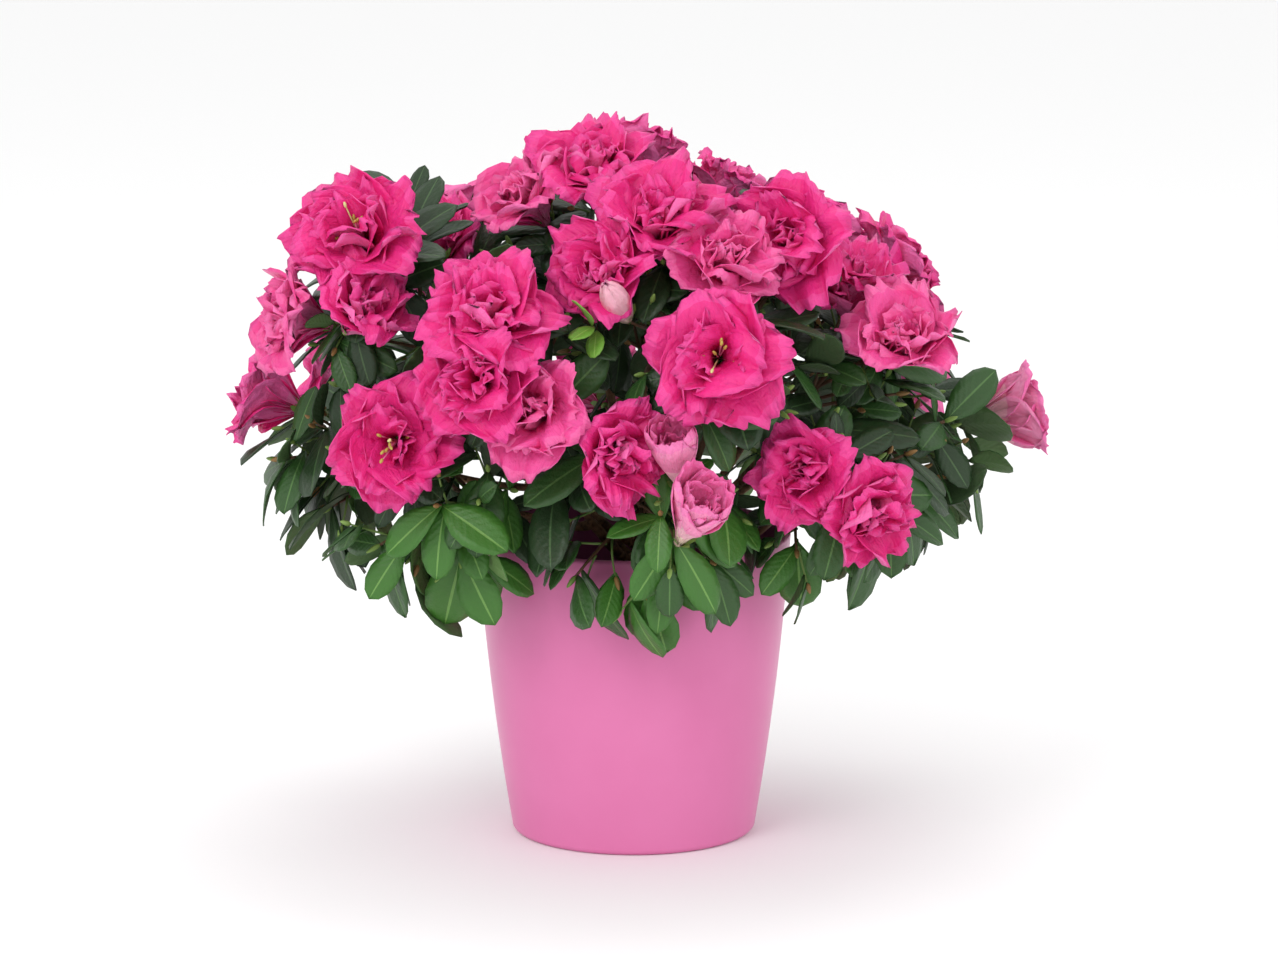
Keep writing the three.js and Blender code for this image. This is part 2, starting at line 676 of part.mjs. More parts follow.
// A limb, and the stem of its mass, which runs on from the limb's tip to the middle of the mass's space.
function makeLimb(name, start, leaveWay, size, mass) {
  const curve = limbCurve(start, leaveWay, mass, size);
  const radiusAt = taper(size.footRadius, size.tipRadius);
  addNode(name, limbGeometry(curve, radiusAt, size.sides, size.steps), bark);
  rememberLimb(name, curve, radiusAt);
  const way = curve.getTangent(1);
  const foot = curve.getPoint(1).addScaledVector(way, jointGap);
  const bend = foot.clone().addScaledVector(way, foot.distanceTo(mass.middle) * 0.5);
  mass.stem = new THREE.QuadraticBezierCurve3(foot, bend, mass.middle.clone());
  rememberLimb(mass.name, mass.stem, taper(stem.radius, stem.tipRadius));
  return curve;
}

function makeBoughs() {
  const massNamed = (name) => masses.find((mass) => mass.name === name);
  const top = trunkTip.clone().addScaledVector(trunkCurve.getTangent(1), jointGap);
  leader.curve = makeLimb(leader.name, top, trunkCurve.getTangent(1), bough, massNamed(leader.mass));
  for (const each of boughs) {
    const share = shareAtHeight(trunkCurve, each.height);
    const way = across(heading(each.turn, 0), trunkCurve.getTangent(share));
    const start = trunkCurve.getPoint(share);
    start.addScaledVector(way, trunkRadiusAt(share) + jointGap);
    each.curve = makeLimb(each.name, start, way, bough, massNamed(each.mass));
  }
  for (const mass of masses.filter((each) => each.from)) {
    const parent = [leader, ...boughs].find((each) => each.name === mass.from).curve;
    const start = parent.getPoint(mass.share);
    const way = across(mass.middle.clone().sub(start), parent.getTangent(mass.share));
    const radius = taper(bough.footRadius, bough.tipRadius)(mass.share);
    start.addScaledVector(way, radius + jointGap);
    makeLimb(mass.name.replace("mass", "side_bough"), start, way, sideBough, mass);
  }
}

function makeMasses() {
  masses.forEach((mass, order) => {
    const geometry = growMass(mass, order);
    geometry.translate(-mass.middle.x, -mass.middle.y, -mass.middle.z);
    geometry.computeVertexNormals();
    addNode(mass.name, geometry, blossom, mass.middle);
  });
}

for (const mass of masses) {
  mass.middle = new THREE.Vector3(...mass.at);
  mass.outward = mass.middle.clone().sub(crownHeart).normalize();
}
makePot();
makeSoil();
makeTrunk();
makeBoughs();
makeMasses();
export default azalea;
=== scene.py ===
from math import ceil, comb, cos, degrees, hypot, pi, radians, sin, sqrt

import bmesh
import bpy
import numpy as np
from mathutils import Matrix, Vector, noise
from mathutils.bvhtree import BVHTree


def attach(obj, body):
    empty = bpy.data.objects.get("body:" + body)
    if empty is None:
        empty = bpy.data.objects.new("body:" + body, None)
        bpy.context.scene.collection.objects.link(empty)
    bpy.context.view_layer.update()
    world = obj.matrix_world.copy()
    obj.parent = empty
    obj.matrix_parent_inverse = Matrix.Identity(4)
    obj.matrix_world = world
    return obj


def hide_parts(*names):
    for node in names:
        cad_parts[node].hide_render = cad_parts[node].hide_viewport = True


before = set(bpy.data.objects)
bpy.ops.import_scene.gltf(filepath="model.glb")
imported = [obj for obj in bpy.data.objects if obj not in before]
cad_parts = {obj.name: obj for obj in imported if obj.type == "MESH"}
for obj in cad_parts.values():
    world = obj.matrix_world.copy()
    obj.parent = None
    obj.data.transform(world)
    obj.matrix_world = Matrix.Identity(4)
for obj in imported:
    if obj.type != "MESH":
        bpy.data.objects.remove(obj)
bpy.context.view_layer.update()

# the plant is worked out in millimetres and made in metres
mm = 0.001
print("frame loaded:", len(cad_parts), "nodes")


def rgba(code):
    channels = [int(code[i:i + 2], 16) / 255 for i in (0, 2, 4)]
    linear = [c / 12.92 if c <= 0.04045 else ((c + 0.055) / 1.055) ** 2.4 for c in channels]
    return (*linear, 1)


# a socket takes a plain value or another node's output
def feed(socket, value):
    if isinstance(value, bpy.types.NodeSocket):
        socket.id_data.links.new(value, socket)
    else:
        socket.default_value = value


def shaderSocket(material, key):
    return material.node_tree.nodes["Principled BSDF"].inputs[key]


def newMaterial(name, colour, skin):
    material = bpy.data.materials.new(name)
    material.use_nodes = True
    for key, value in ({"Base Color": rgba(colour)} | skin).items():
        feed(shaderSocket(material, key), value)
    return material


def addNode(material, kind, **inputs):
    node = material.node_tree.nodes.new("ShaderNode" + kind)
    for key, value in inputs.items():
        feed(node.inputs[key], value)
    return node


def addNoise(material, place, values):
    return addNode(material, "TexNoise", Vector=place, **values).outputs["Fac"]


def addMath(material, operation, *values):
    node = addNode(material, "Math")
    node.operation = operation
    for socket, value in zip(node.inputs, values):
        feed(socket, value)
    return node.outputs["Value"]


# the two outer stops come first, then any between them
def addTint(material, source, stops, colours):
    ramp = addNode(material, "ValToRGB", Fac=source)
    elements = ramp.color_ramp.elements
    for i, (at, code) in enumerate(zip(stops, colours)):
        stop = elements.new(at) if i > 1 else elements[i]
        stop.position = at
        stop.color = rgba(code)
    feed(shaderSocket(material, "Base Color"), ramp.outputs["Color"])


def addRelief(material, height, strength, distance):
    bump = addNode(material, "Bump", Height=height, Strength=strength, Distance=distance)
    feed(shaderSocket(material, "Normal"), bump.outputs["Normal"])


# a surface with an even grain, and patches of tint where it has several colours
def grainedMaterial(name, colour, look, colours=()):
    material = newMaterial(name, colour, look["skin"])
    place = addNode(material, "TexCoord").outputs["Object"]
    if colours:
        addTint(material, addNoise(material, place, look["patches"]), look["stops"], colours)
    addRelief(material, addNoise(material, place, look["grain"]), *look["relief"])
    return material


def addObject(name, data):
    found = bpy.data.objects.new(name, data)
    bpy.context.collection.objects.link(found)
    return found


# camera, floor and light
studio = {
    "lookAt": (0.0024, 0.0, 0.1585), "distance": 2.6, "elevation": 11.2, "lens": 164.8, "sensor": 36,
    "floorSize": 12, "floorColour": "f7f7f7", "floorSkin": {"Roughness": 0.8},
    "worldColour": "ffffff", "worldStrength": 1.0,
    "lights": {
        "keyLight": {"at": (-0.9, -1.5, 1.5), "size": 0.9, "power": 14},
        "fillLight": {"at": (1.3, -1.3, 0.7), "size": 0.8, "power": 3},
        "topLight": {"at": (0.2, 0.5, 1.7), "size": 1.0, "power": 5},
    },
}


def addAreaLight(name, at, size, power):
    lamp = addObject(name, bpy.data.lights.new(name, "AREA"))
    lamp.data.size = size
    lamp.data.energy = power
    lamp.location = at
    lamp.rotation_euler = (Vector(studio["lookAt"]) - Vector(at)).to_track_quat("-Z", "Y").to_euler()


def addCamera():
    rise = radians(studio["elevation"])
    camera = addObject("photoCamera", bpy.data.cameras.new("photoCamera"))
    camera.data.lens = studio["lens"]
    camera.data.sensor_width = studio["sensor"]
    camera.location = Vector(studio["lookAt"]) + Vector((0, -cos(rise), sin(rise))) * studio["distance"]
    camera.rotation_euler = (pi / 2 - rise, 0, 0)
    return camera


def addWorld():
    world = bpy.data.worlds.new("paleWorld")
    world.use_nodes = True
    background = world.node_tree.nodes["Background"]
    background.inputs["Color"].default_value = rgba(studio["worldColour"])
    background.inputs["Strength"].default_value = studio["worldStrength"]
    return world


def addFloor():
    sheet = bmesh.new()
    bmesh.ops.create_grid(sheet, x_segments=1, y_segments=1, size=studio["floorSize"] / 2)
    mesh = bpy.data.meshes.new("floor")
    sheet.to_mesh(mesh)
    sheet.free()
    mesh.materials.append(newMaterial("paleFloor", studio["floorColour"], studio["floorSkin"]))
    floor = addObject("floor", mesh)


def makeStudio():
    scene = bpy.context.scene
    scene.view_settings.view_transform = "Standard"
    scene.camera = addCamera()
    scene.world = addWorld()
    for name, light in studio["lights"].items():
        addAreaLight(name, **light)
    addFloor()


makeStudio()
print("studio made")


# what the source grows the plant by, written again in the same order of draws
pot = {"height": 136, "rimRadius": 70, "footRadius": 54, "belly": 1.8, "wall": 3.8, "floor": 5,
       "footRound": 3, "lipRound": 1.9}
soil = {"top": 108, "crumble": 5, "restClear": 0.3}
trunk = {"tip": (4, -2, 137), "sway": (3, 1, 0), "swayAt": 0.45, "straightTo": 0.12, "flareRadius": 8.5,
         "flareHeight": 8, "footRadius": 5.4, "tipRadius": 3.2, "thinning": 0.8}
bough = {"footRadius": 2.7, "tipRadius": 1.7, "leave": 9, "arrive": 0.4, "lift": 0.25}
sideBough = {"footRadius": 1.9, "tipRadius": 1.6, "leave": 5, "arrive": 0.35, "lift": 0.1}
stem = {"radius": 1.7, "tipRadius": 1.5, "shootsFrom": 0.3, "firstShoot": 0.3, "bend": 0.5}
twig = {"radius": 0.9, "tipRadius": 0.6}
leaf = {"length": 43, "shorter": 0.74, "width": 0.48, "widestAt": 0.56, "thick": 0.03, "droop": 0.2,
        "firstAt": 0.6, "spacing": 1.7, "sunk": 0.3, "sag": 0.3, "hang": 0.9, "skyward": 0.6,
        "tries": (1, 0.85, 0.7)}
foliageWhorl = {"leaves": 7, "leanFrom": 40, "leanTo": 84, "longest": 1}
bloomWhorl = {"leaves": 4, "leanFrom": 60, "leanTo": 90, "longest": 1, "at": 0.95}
bloom = {"budWidth": 24, "openWidth": 52, "petals": 5, "petalLength": 0.56, "budPetalLength": 1.12,
         "under": 0.3, "thick": 1.3, "outerTilt": (74, 22), "ruffle": 9, "ruffles": 20,
         "stalk": 13, "stalkSunk": 2, "overHeart": 0.27, "turnedOut": 0.25, "keptLeast": 0.4,
         "heartStep": 0.04}
growth = {"jointGap": 0.3, "entersAt": 0.72, "entersMost": 0.5, "ownSpaceClear": 0.25, "limbClear": 0.8,
          "potClear": 1.5, "spreadWays": 30, "apart": 36, "shootReach": (0.5, 0.7), "limbSpacing": 1.5,
          "leafSamples": 8, "leafAside": (-0.4, 0, 0.4), "twigSamples": 16, "lengthSteps": 200}
seeds = {"growth": 1, "fine": 101, "petals": 301, "leaves": 501, "twigs": 701, "hearts": 901, "peat": 1201}
goldenTurn = pi * (3 - sqrt(5))
crownHeart = np.array((0, 0, 165.0))

# each bough's mass, then the height and the turn at which it leaves the trunk
boughs = {
    "bough_top": ("mass_top",),
    "bough_front": ("mass_front", 131, 8),
    "bough_front_left": ("mass_front_left", 121, -36),
    "bough_front_right": ("mass_low_right_front", 120, 52),
    "bough_right": ("mass_right", 130, 98),
    "bough_back_right": ("mass_back_right", 121, 142),
    "bough_back": ("mass_back", 130, -172),
    "bough_back_left": ("mass_back_left", 121, -128),
    "bough_left": ("mass_left", 131, -82),
}

# a bloom is its turn, rise and width, with the turn and rise that it faces where these differ; ways are
# those of shoots that must be there; the last two are the bough that a side bough leaves, and how far up
massKeys = ("at", "reach", "shoots", "blooms", "ways", "from", "share")
massRows = {
    "mass_top": ((-20, -10, 258), 64, 5,
        [(4, 54, 60), (-36, 36, 52, -62, 50), (150, 46, 54)]),
    "mass_upper_front": ((16, -56, 243), 62, 5,
        [(-13, 62, 64), (-40, 26, 54), (34, 34, 56), (-24, 12, 14, -30, 44)], [], "bough_top", 0.7),
    "mass_front": ((38, -82, 214), 62, 5, [(-3, 28, 66, -2, 12)]),
    "mass_front_left": ((-52, -76, 222), 64, 5,
        [(-10, 36, 64, -4, 44), (-14, 4, 54), (15, -13, 56, -20, 14)]),
    "mass_low_front": ((2, -77, 164), 69, 6,
        [(-15, 33, 50, 34, 0), (20, 0, 31, 30, 46), (22, 24, 28, -14, 56)],
        [(12, -60), (-66, -46), (78, -34)], "bough_front", 0.5),
    "mass_low_front_left": ((-78, -58, 166), 68, 6, [(-33, 33, 62, -10, 8)],
        [(-110, -58), (10, -50), (-60, -30)], "bough_front_left", 0.55),
    "mass_left": ((-100, -34, 244), 62, 5,
        [(-30, 43, 64, -22, 38), (-60, -6, 56, -74, 12), (-22, 2, 46, 40, 46)]),
    "mass_low_left": ((-112, -14, 172), 64, 7, [(-112, 24, 46)],
        [(-80, 0), (-60, -40), (-72, 30)], "bough_left", 0.55),
    "mass_low_right_front": ((80, -54, 167), 62, 6, [(-6, 18, 54, -12, 6), (22, -2, 50, 34, -6)],
        [(70, -24), (-34, -58), (20, 60)]),
    "mass_low_right": ((110, 2, 173), 64, 7, [(108, 12, 36, 90, 12)],
        [(84, -8), (64, -40), (50, 24)], "bough_right", 0.55),
    "mass_right": ((88, -28, 216), 60, 5, [(38, 16, 56, 10, 52), (60, 76, 46)]),
    "mass_upper_right": ((58, -32, 246), 56, 5, [(24, 42, 62, -20, 24), (80, 26, 52)], [],
        "bough_top", 0.45),
    "mass_back_right": ((74, 50, 212), 62, 5, [(150, 20, 62), (100, 36, 58), (170, 58, 56)]),
    "mass_upper_back": ((14, 38, 240), 58, 4, [(120, 52, 54), (170, 26, 60)], [], "bough_top", 0.55),
    "mass_back": ((4, 84, 208), 64, 5, [(165, 26, 62), (-146, 12, 56)]),
    "mass_back_left": ((-62, 38, 230), 62, 5, [(-40, 42, 54), (-150, 24, 62), (-104, 34, 56)]),
    "mass_low_back_left": ((-90, 62, 174), 64, 6, [(-134, 18, 60)], [], "bough_back_left", 0.55),
    "mass_low_back": ((-6, 94, 160), 62, 6, [(-168, 12, 60)], [], "bough_back", 0.5),
    "mass_low_back_right": ((84, 74, 168), 62, 6, [(138, 20, 60)], [], "bough_back_right", 0.55),
}
masses = {name: dict(zip(massKeys, row)) for name, row in massRows.items()}


def dice(seed):
    largest = 2147483647
    state = seed * 7919 + 17

    def roll(low, high):
        nonlocal state
        state = state * 48271 % largest
        return low + (high - low) * state / largest
    return roll


def unit(vector):
    return vector / np.linalg.norm(vector)


def lerp(start, end, share):
    return start + (end - start) * share


def smoothstep(value, low, high):
    share = np.clip((value - low) / (high - low), 0, 1)
    return share * share * (3 - 2 * share)


def heading(turn, rise):
    t, r = radians(turn), radians(rise)
    return np.array((sin(t) * cos(r), -cos(t) * cos(r), sin(r)))


def across(vector, axis):
    return unit(vector - axis * vector.dot(axis))


def squareTo(axis):
    up = np.array((0, 1.0, 0)) if abs(axis[2]) > 0.95 else np.array((0, 0, 1.0))
    side = unit(np.cross(axis, up))
    return side, np.cross(axis, side)


def spoke(axis, turn):
    side, lift = squareTo(axis)
    return side * cos(turn) + lift * sin(turn)


def bezier(*corners):
    corners = np.array(corners, float)
    order = len(corners) - 1
    weights = [comb(order, i) for i in range(order + 1)]

    def at(share):
        return sum(w * (1 - share) ** (order - i) * share ** i * c
                   for i, (w, c) in enumerate(zip(weights, corners)))
    return at


def tangent(curve, share, step=0.0001):
    return unit(curve(min(1, share + step)) - curve(max(0, share - step)))


def curvePoints(curve, count):
    return np.array([curve(i / count) for i in range(count + 1)])


def curveLength(curve):
    return np.linalg.norm(np.diff(curvePoints(curve, growth["lengthSteps"]), axis=0), axis=1).sum()


def taper(foot, tip):
    return lambda share: foot + (tip - foot) * share


def potRadiusAt(z):
    share = z / pot["height"]
    straight = pot["footRadius"] + (pot["rimRadius"] - pot["footRadius"]) * share
    return straight + 4 * pot["belly"] * share * (1 - share)


obstacles = []
woodLimbs = []


def rememberLimb(name, curve, radiusAt):
    count = ceil(curveLength(curve) / growth["limbSpacing"])
    rooms = np.array([radiusAt(i / count) + growth["limbClear"] for i in range(count + 1)])
    obstacles.append((name, curvePoints(curve, count), rooms))


def trunkRadiusAt(share):
    rise = share * (trunk["tip"][2] - soil["top"] - soil["restClear"])
    flare = max(0, 1 - rise / trunk["flareHeight"]) ** 2
    plain = trunk["footRadius"] + (trunk["tipRadius"] - trunk["footRadius"]) * share ** trunk["thinning"]
    return plain + (trunk["flareRadius"] - trunk["footRadius"]) * flare


def shareAtHeight(curve, z):
    low, high = 0.0, 1.0
    while high - low > 1e-6:
        middle = (low + high) / 2
        low, high = (middle, high) if curve(middle)[2] < z else (low, middle)
    return low


def limbCurve(start, leaveWay, mass, size):
    straight = mass["middle"] - start
    arrive = unit(unit(straight) + np.array((0, 0, size["lift"])))
    short = min(mass["reach"] * growth["entersAt"], np.linalg.norm(straight) * growth["entersMost"])
    end = mass["middle"] - arrive * short
    near = end - arrive * np.linalg.norm(end - start) * size["arrive"]
    return bezier(start, start + leaveWay * size["leave"], near, end)


def addLimb(name, start, leaveWay, size, mass):
    curve = limbCurve(start, leaveWay, mass, size)
    radiusAt = taper(size["footRadius"], size["tipRadius"])
    woodLimbs.append((name, curve, radiusAt))
    rememberLimb(name, curve, radiusAt)
    way = tangent(curve, 1)
    foot = curve(1) + way * growth["jointGap"]
    bend = foot + way * np.linalg.norm(foot - mass["middle"]) * stem["bend"]
    mass["stem"] = bezier(foot, bend, mass["middle"])
    rememberLimb(mass["name"], mass["stem"], taper(stem["radius"], stem["tipRadius"]))
    return curve


def growTrunk():
    foot = np.array((0, 0, soil["top"] + soil["restClear"]))
    tip = np.array(trunk["tip"], float)
    sway = lerp(foot, tip, trunk["swayAt"]) + np.array(trunk["sway"])
    straight = foot + np.array((0, 0, (tip[2] - foot[2]) * trunk["straightTo"]))
    curve = bezier(foot, straight, sway, tip)
    rememberLimb("trunk", curve, trunkRadiusAt)
    return curve


def growBough(name, massName, height=None, turn=None):
    if height:
        share = shareAtHeight(trunkCurve, height)
        way = across(heading(turn, 0), tangent(trunkCurve, share))
        start = trunkCurve(share) + way * (trunkRadiusAt(share) + growth["jointGap"])
    else:
        way = tangent(trunkCurve, 1)
        start = np.array(trunk["tip"]) + way * growth["jointGap"]
    return addLimb(name, start, way, bough, masses[massName])


def growSideBough(mass, parent):
    share = mass["share"]
    way = across(mass["middle"] - parent(share), tangent(parent, share))
    out = taper(bough["footRadius"], bough["tipRadius"])(share) + growth["jointGap"]
    addLimb(mass["name"].replace("mass", "side_bough"), parent(share) + way * out, way, sideBough, mass)


for massName, mass in masses.items():
    mass["name"] = massName
    mass["middle"] = np.array(mass["at"], float)
    mass["outward"] = unit(mass["middle"] - crownHeart)
trunkCurve = growTrunk()
boughCurves = {name: growBough(name, *row) for name, row in boughs.items()}
for mass in masses.values():
    if "from" in mass:
        growSideBough(mass, boughCurves[mass["from"]])
for mass in masses.values():
    others = [limb for limb in obstacles if limb[0] != mass["name"]]
    mass["nearLimbs"] = np.concatenate([points for _, points, _ in others])
    mass["rooms"] = np.concatenate([rooms for _, _, rooms in others])
print("limbs worked out:", len(woodLimbs) + 1)


def inOwnSpace(mass, points):
    points = np.atleast_2d(points)
    own = ((points - mass["middle"]) ** 2).sum(axis=1) - mass["reach"] ** 2
    fits = own <= 0
    for other in masses.values():
        if other is mass:
            continue
        theirs = ((points - other["middle"]) ** 2).sum(axis=1) - other["reach"] ** 2
        between = np.linalg.norm(other["middle"] - mass["middle"])
        fits &= theirs - own > 2 * growth["ownSpaceClear"] * between
    return fits


def clearOfPot(points):
    points = np.atleast_2d(points)
    clear = growth["potClear"]
    z, radius = points[:, 2], np.hypot(points[:, 0], points[:, 1])
    outer = potRadiusAt(z)
    inside = (radius < outer - pot["wall"] - clear) & (z > soil["top"] + clear)
    return (z > pot["height"] + clear) | inside | (radius > outer + clear)


def placeLeaf(root, along, face, length):
    up = across(face, along)
    side = np.cross(up, along)
    return {"root": root, "along": along, "side": side, "up": up, "length": length}


def leafPoint(placed, share, aside):
    length = placed["length"]
    width = placed["side"] * aside * (length * leaf["width"])
    drop = placed["up"] * (leaf["droop"] * length * share ** 2)
    return placed["root"] + placed["along"] * share * length + width - drop


def leafClearOfLimbs(mass, placed):
    length = placed["length"]
    start = mass["nearLimbs"] - placed["root"]
    run = start @ placed["along"]
    share = np.clip(run / length, 0, 1)
    aside = np.maximum(0, np.abs(start @ placed["side"]) - length * leaf["width"] / 2)
    above = np.abs(start @ placed["up"] + leaf["droop"] * length * share ** 2) - length * leaf["thick"] / 2
    gap = np.sqrt((run - share * length) ** 2 + aside ** 2 + np.maximum(0, above) ** 2)
    return (gap > mass["rooms"]).all()


def leafFits(mass, placed):
    widest, count = leaf["widestAt"], growth["leafSamples"]
    corners = [leafPoint(placed, *each) for each in ((0, 0), (widest, -0.5), (1, 0), (widest, 0.5))]
    if not inOwnSpace(mass, corners).all():
        return False
    rows = [leafPoint(placed, i / count, aside) for i in range(count + 1) for aside in growth["leafAside"]]
    return clearOfPot(rows).all() and leafClearOfLimbs(mass, placed)


def whorlOf(mass, tip, along, whorl, roll, free=False):
    leaves = []
    firstTurn = roll(0, 2 * pi)
    for i in range(whorl["leaves"]):
        out = spoke(along, firstTurn + i * goldenTurn)
        lean = radians(roll(whorl["leanFrom"], whorl["leanTo"]))
        length = leaf["length"] * whorl["longest"] * roll(leaf["shorter"], 1)
        sag = roll(0, leaf["sag"]) + max(0, -along[2]) * leaf["hang"]
        run = unit(along * cos(lean) + out * sin(lean) - np.array((0, 0, sag)))
        root = tip - along * (i + leaf["firstAt"]) * leaf["spacing"] - run * leaf["sunk"]
        face = along + np.array((0, 0, leaf["skyward"]))
        tries = (placeLeaf(root, run, face, length * share) for share in leaf["tries"])
        placed = next((each for each in tries if free or leafFits(mass, each)), None)
        if placed:
            leaves.append(placed)
    return leaves


def shootFits(mass, start, tip):
    points = curvePoints(bezier(start, tip), growth["twigSamples"])
    if not (inOwnSpace(mass, points).all() and clearOfPot(points).all()):
        return False
    gaps = np.linalg.norm(points[:, None] - mass["nearLimbs"], axis=2)
    return (gaps > mass["rooms"] + twig["radius"]).all()


def shootFoot(mass, index):
    count = len(mass["blooms"]) + mass["shoots"]
    return mass["stem"](1 - (1 - stem["shootsFrom"]) * (index + stem["firstShoot"]) / count)


def heartOf(mass, way, facing, length, width):
    side, lift = squareTo(facing)
    reach = bloom["under"] * length + bloom["thick"]
    kept = 1.0
    while kept > bloom["keptLeast"]:
        heart = mass["middle"] + way * (mass["reach"] - width * bloom["overHeart"]) * kept
        if inOwnSpace(mass, [heart + each * reach for each in (side, lift, -side, -lift)]).all():
            return heart
        kept -= bloom["heartStep"]
    return None


def bloomClearOfLimbs(mass, heart, facing, length):
    start = mass["nearLimbs"] - heart
    height = start @ facing
    far = np.linalg.norm(start, axis=1)
    aside = np.sqrt(np.maximum(0, far ** 2 - height ** 2))
    over = far > length + mass["rooms"]
    under = (height < -bloom["stalk"]) | (aside > bloom["under"] * length + mass["rooms"])
    return np.where(height > -bloom["stalkSunk"], over, under).all()


def bloomingShoot(mass, index, way, width, face, roll):
    opening = float(smoothstep(width, bloom["budWidth"], bloom["openWidth"]))
    length = width * lerp(bloom["budPetalLength"], bloom["petalLength"], opening)
    facing = heading(*face) if face else unit(lerp(way, mass["outward"], bloom["turnedOut"]))
    heart = heartOf(mass, way, facing, length, width)
    if heart is None:
        return []
    foot = heart + facing * (bloom["stalkSunk"] - bloom["stalk"])
    start = shootFoot(mass, index)
    firstTurn = roll(0, 2 * pi)
    ruffles = [roll(-bloom["ruffle"], bloom["ruffle"]) * opening for _ in range(bloom["ruffles"])]
    leaves = whorlOf(mass, lerp(start, foot, bloomWhorl["at"]), unit(foot - start), bloomWhorl, roll)
    if not shootFits(mass, start, foot) or not bloomClearOfLimbs(mass, heart, facing, length):
        return []
    flower = {"heart": heart, "facing": facing, "length": length, "opening": opening,
              "firstTurn": firstTurn, "ruffles": ruffles, "index": index}
    return [{"start": start, "tip": foot, "bloom": flower, "leaves": leaves}]


def leafyShoots(mass, taken, roll):
    shoots = []

    def tryWay(way):
        tip = mass["middle"] + way * mass["reach"] * roll(*growth["shootReach"])
        start = shootFoot(mass, len(mass["blooms"]) + len(shoots))
        leaves = whorlOf(mass, tip, unit(tip - start), foliageWhorl, roll)
        if shootFits(mass, start, tip):
            taken.append(way)
            shoots.append({"start": start, "tip": tip, "leaves": leaves})

    for turn, rise in mass.get("ways", []):
        tryWay(heading(turn, rise))
    firstTurn = roll(0, 2 * pi)
    for i in range(growth["spreadWays"]):
        if len(shoots) == mass["shoots"]:
            break
        z = 1 - 2 * (i + 0.5) / growth["spreadWays"]
        turn = firstTurn + i * goldenTurn
        level = sqrt(1 - z * z)
        way = np.array((level * cos(turn), level * sin(turn), z))
        near = cos(radians(growth["apart"]))
        if all(way.dot(other) <= near for other in taken) and way.dot(mass["outward"]) > 0:
            tryWay(way)
    return shoots


# finer growth than the source's, in the same space: twigs with smaller leaves along each shoot, short ones
# on the stem deep in the crown, and a small rosette of young leaves beside a closed bud
fine = {"twigs": 3, "firstAt": 0.35, "lastAt": 0.85, "lean": 46, "lengths": (13, 21)}
fineWhorl = {"leaves": 5, "leanFrom": 34, "leanTo": 80, "longest": 0.74}
inner = {"twigs": 5, "shares": (0.2, 0.95), "turns": (0, 60), "rises": (-30, 60), "lengths": (16, 32)}
young = {"fromBud": np.array((-12, -10, -5)), "facing": (-16, 30)}
youngWhorl = {"leaves": 8, "leanFrom": 20, "leanTo": 78, "longest": 0.46}


def fineTwig(mass, start, way, size, roll):
    tip = start + way * roll(*size["lengths"])
    leaves = whorlOf(mass, tip, way, fineWhorl, roll)
    if leaves and shootFits(mass, start, tip):
        return [{"start": start, "tip": tip, "leaves": leaves, "fine": True, "inner": size is inner}]
    return []


def finerTwigs(mass, shoot, roll):
    along = unit(shoot["tip"] - shoot["start"])
    lean = radians(fine["lean"])
    turn = roll(0, 2 * pi)
    found = []
    for i in range(fine["twigs"]):
        turn += goldenTurn
        share = lerp(fine["firstAt"], fine["lastAt"], (i + roll(0, 1)) / fine["twigs"])
        way = unit(along * cos(lean) + spoke(along, turn) * sin(lean))
        found += fineTwig(mass, lerp(shoot["start"], shoot["tip"], share), way, fine, roll)
    return found


def innerTwigs(mass, roll):
    found = []
    for i in range(inner["twigs"]):
        start = mass["stem"](lerp(*inner["shares"], (i + roll(0, 1)) / inner["twigs"]))
        way = heading(degrees(i * goldenTurn) + roll(*inner["turns"]), roll(*inner["rises"]))
        found += fineTwig(mass, start, way, inner, roll)
    return found


def youngLeaves(mass, flower, roll):
    tip = flower["heart"] + young["fromBud"]
    return whorlOf(mass, tip, heading(*young["facing"]), youngWhorl, roll, free=True)


def closedBud(flower):
    return flower["opening"] == 0


def growMass(mass, order):
    roll, fineRoll = dice(order + seeds["growth"]), dice(order + seeds["fine"])
    taken = [heading(turn, rise) for turn, rise, *_ in mass["blooms"]]
    shoots = []
    for i, (_, _, width, *face) in enumerate(mass["blooms"]):
        shoots += bloomingShoot(mass, i, taken[i], width, face, roll)
    shoots += leafyShoots(mass, taken, roll)
    for shoot in list(shoots):
        shoots += finerTwigs(mass, shoot, fineRoll)
        if "bloom" in shoot and closedBud(shoot["bloom"]):
            shoot["leaves"] = youngLeaves(mass, shoot["bloom"], fineRoll)
    return shoots + innerTwigs(mass, fineRoll)


for order, mass in enumerate(masses.values()):
    mass["grown"] = growMass(mass, order)
allShoots = [shoot for mass in masses.values() for shoot in mass["grown"]]
blooms = [shoot["bloom"] | {"mass": mass} for mass in masses.values() for shoot in mass["grown"]
          if "bloom" in shoot]
leafCount = sum(len(shoot["leaves"]) for shoot in allShoots)
print("grown:", len(allShoots), "shoots,", len(blooms), "blooms,", leafCount, "leaves")


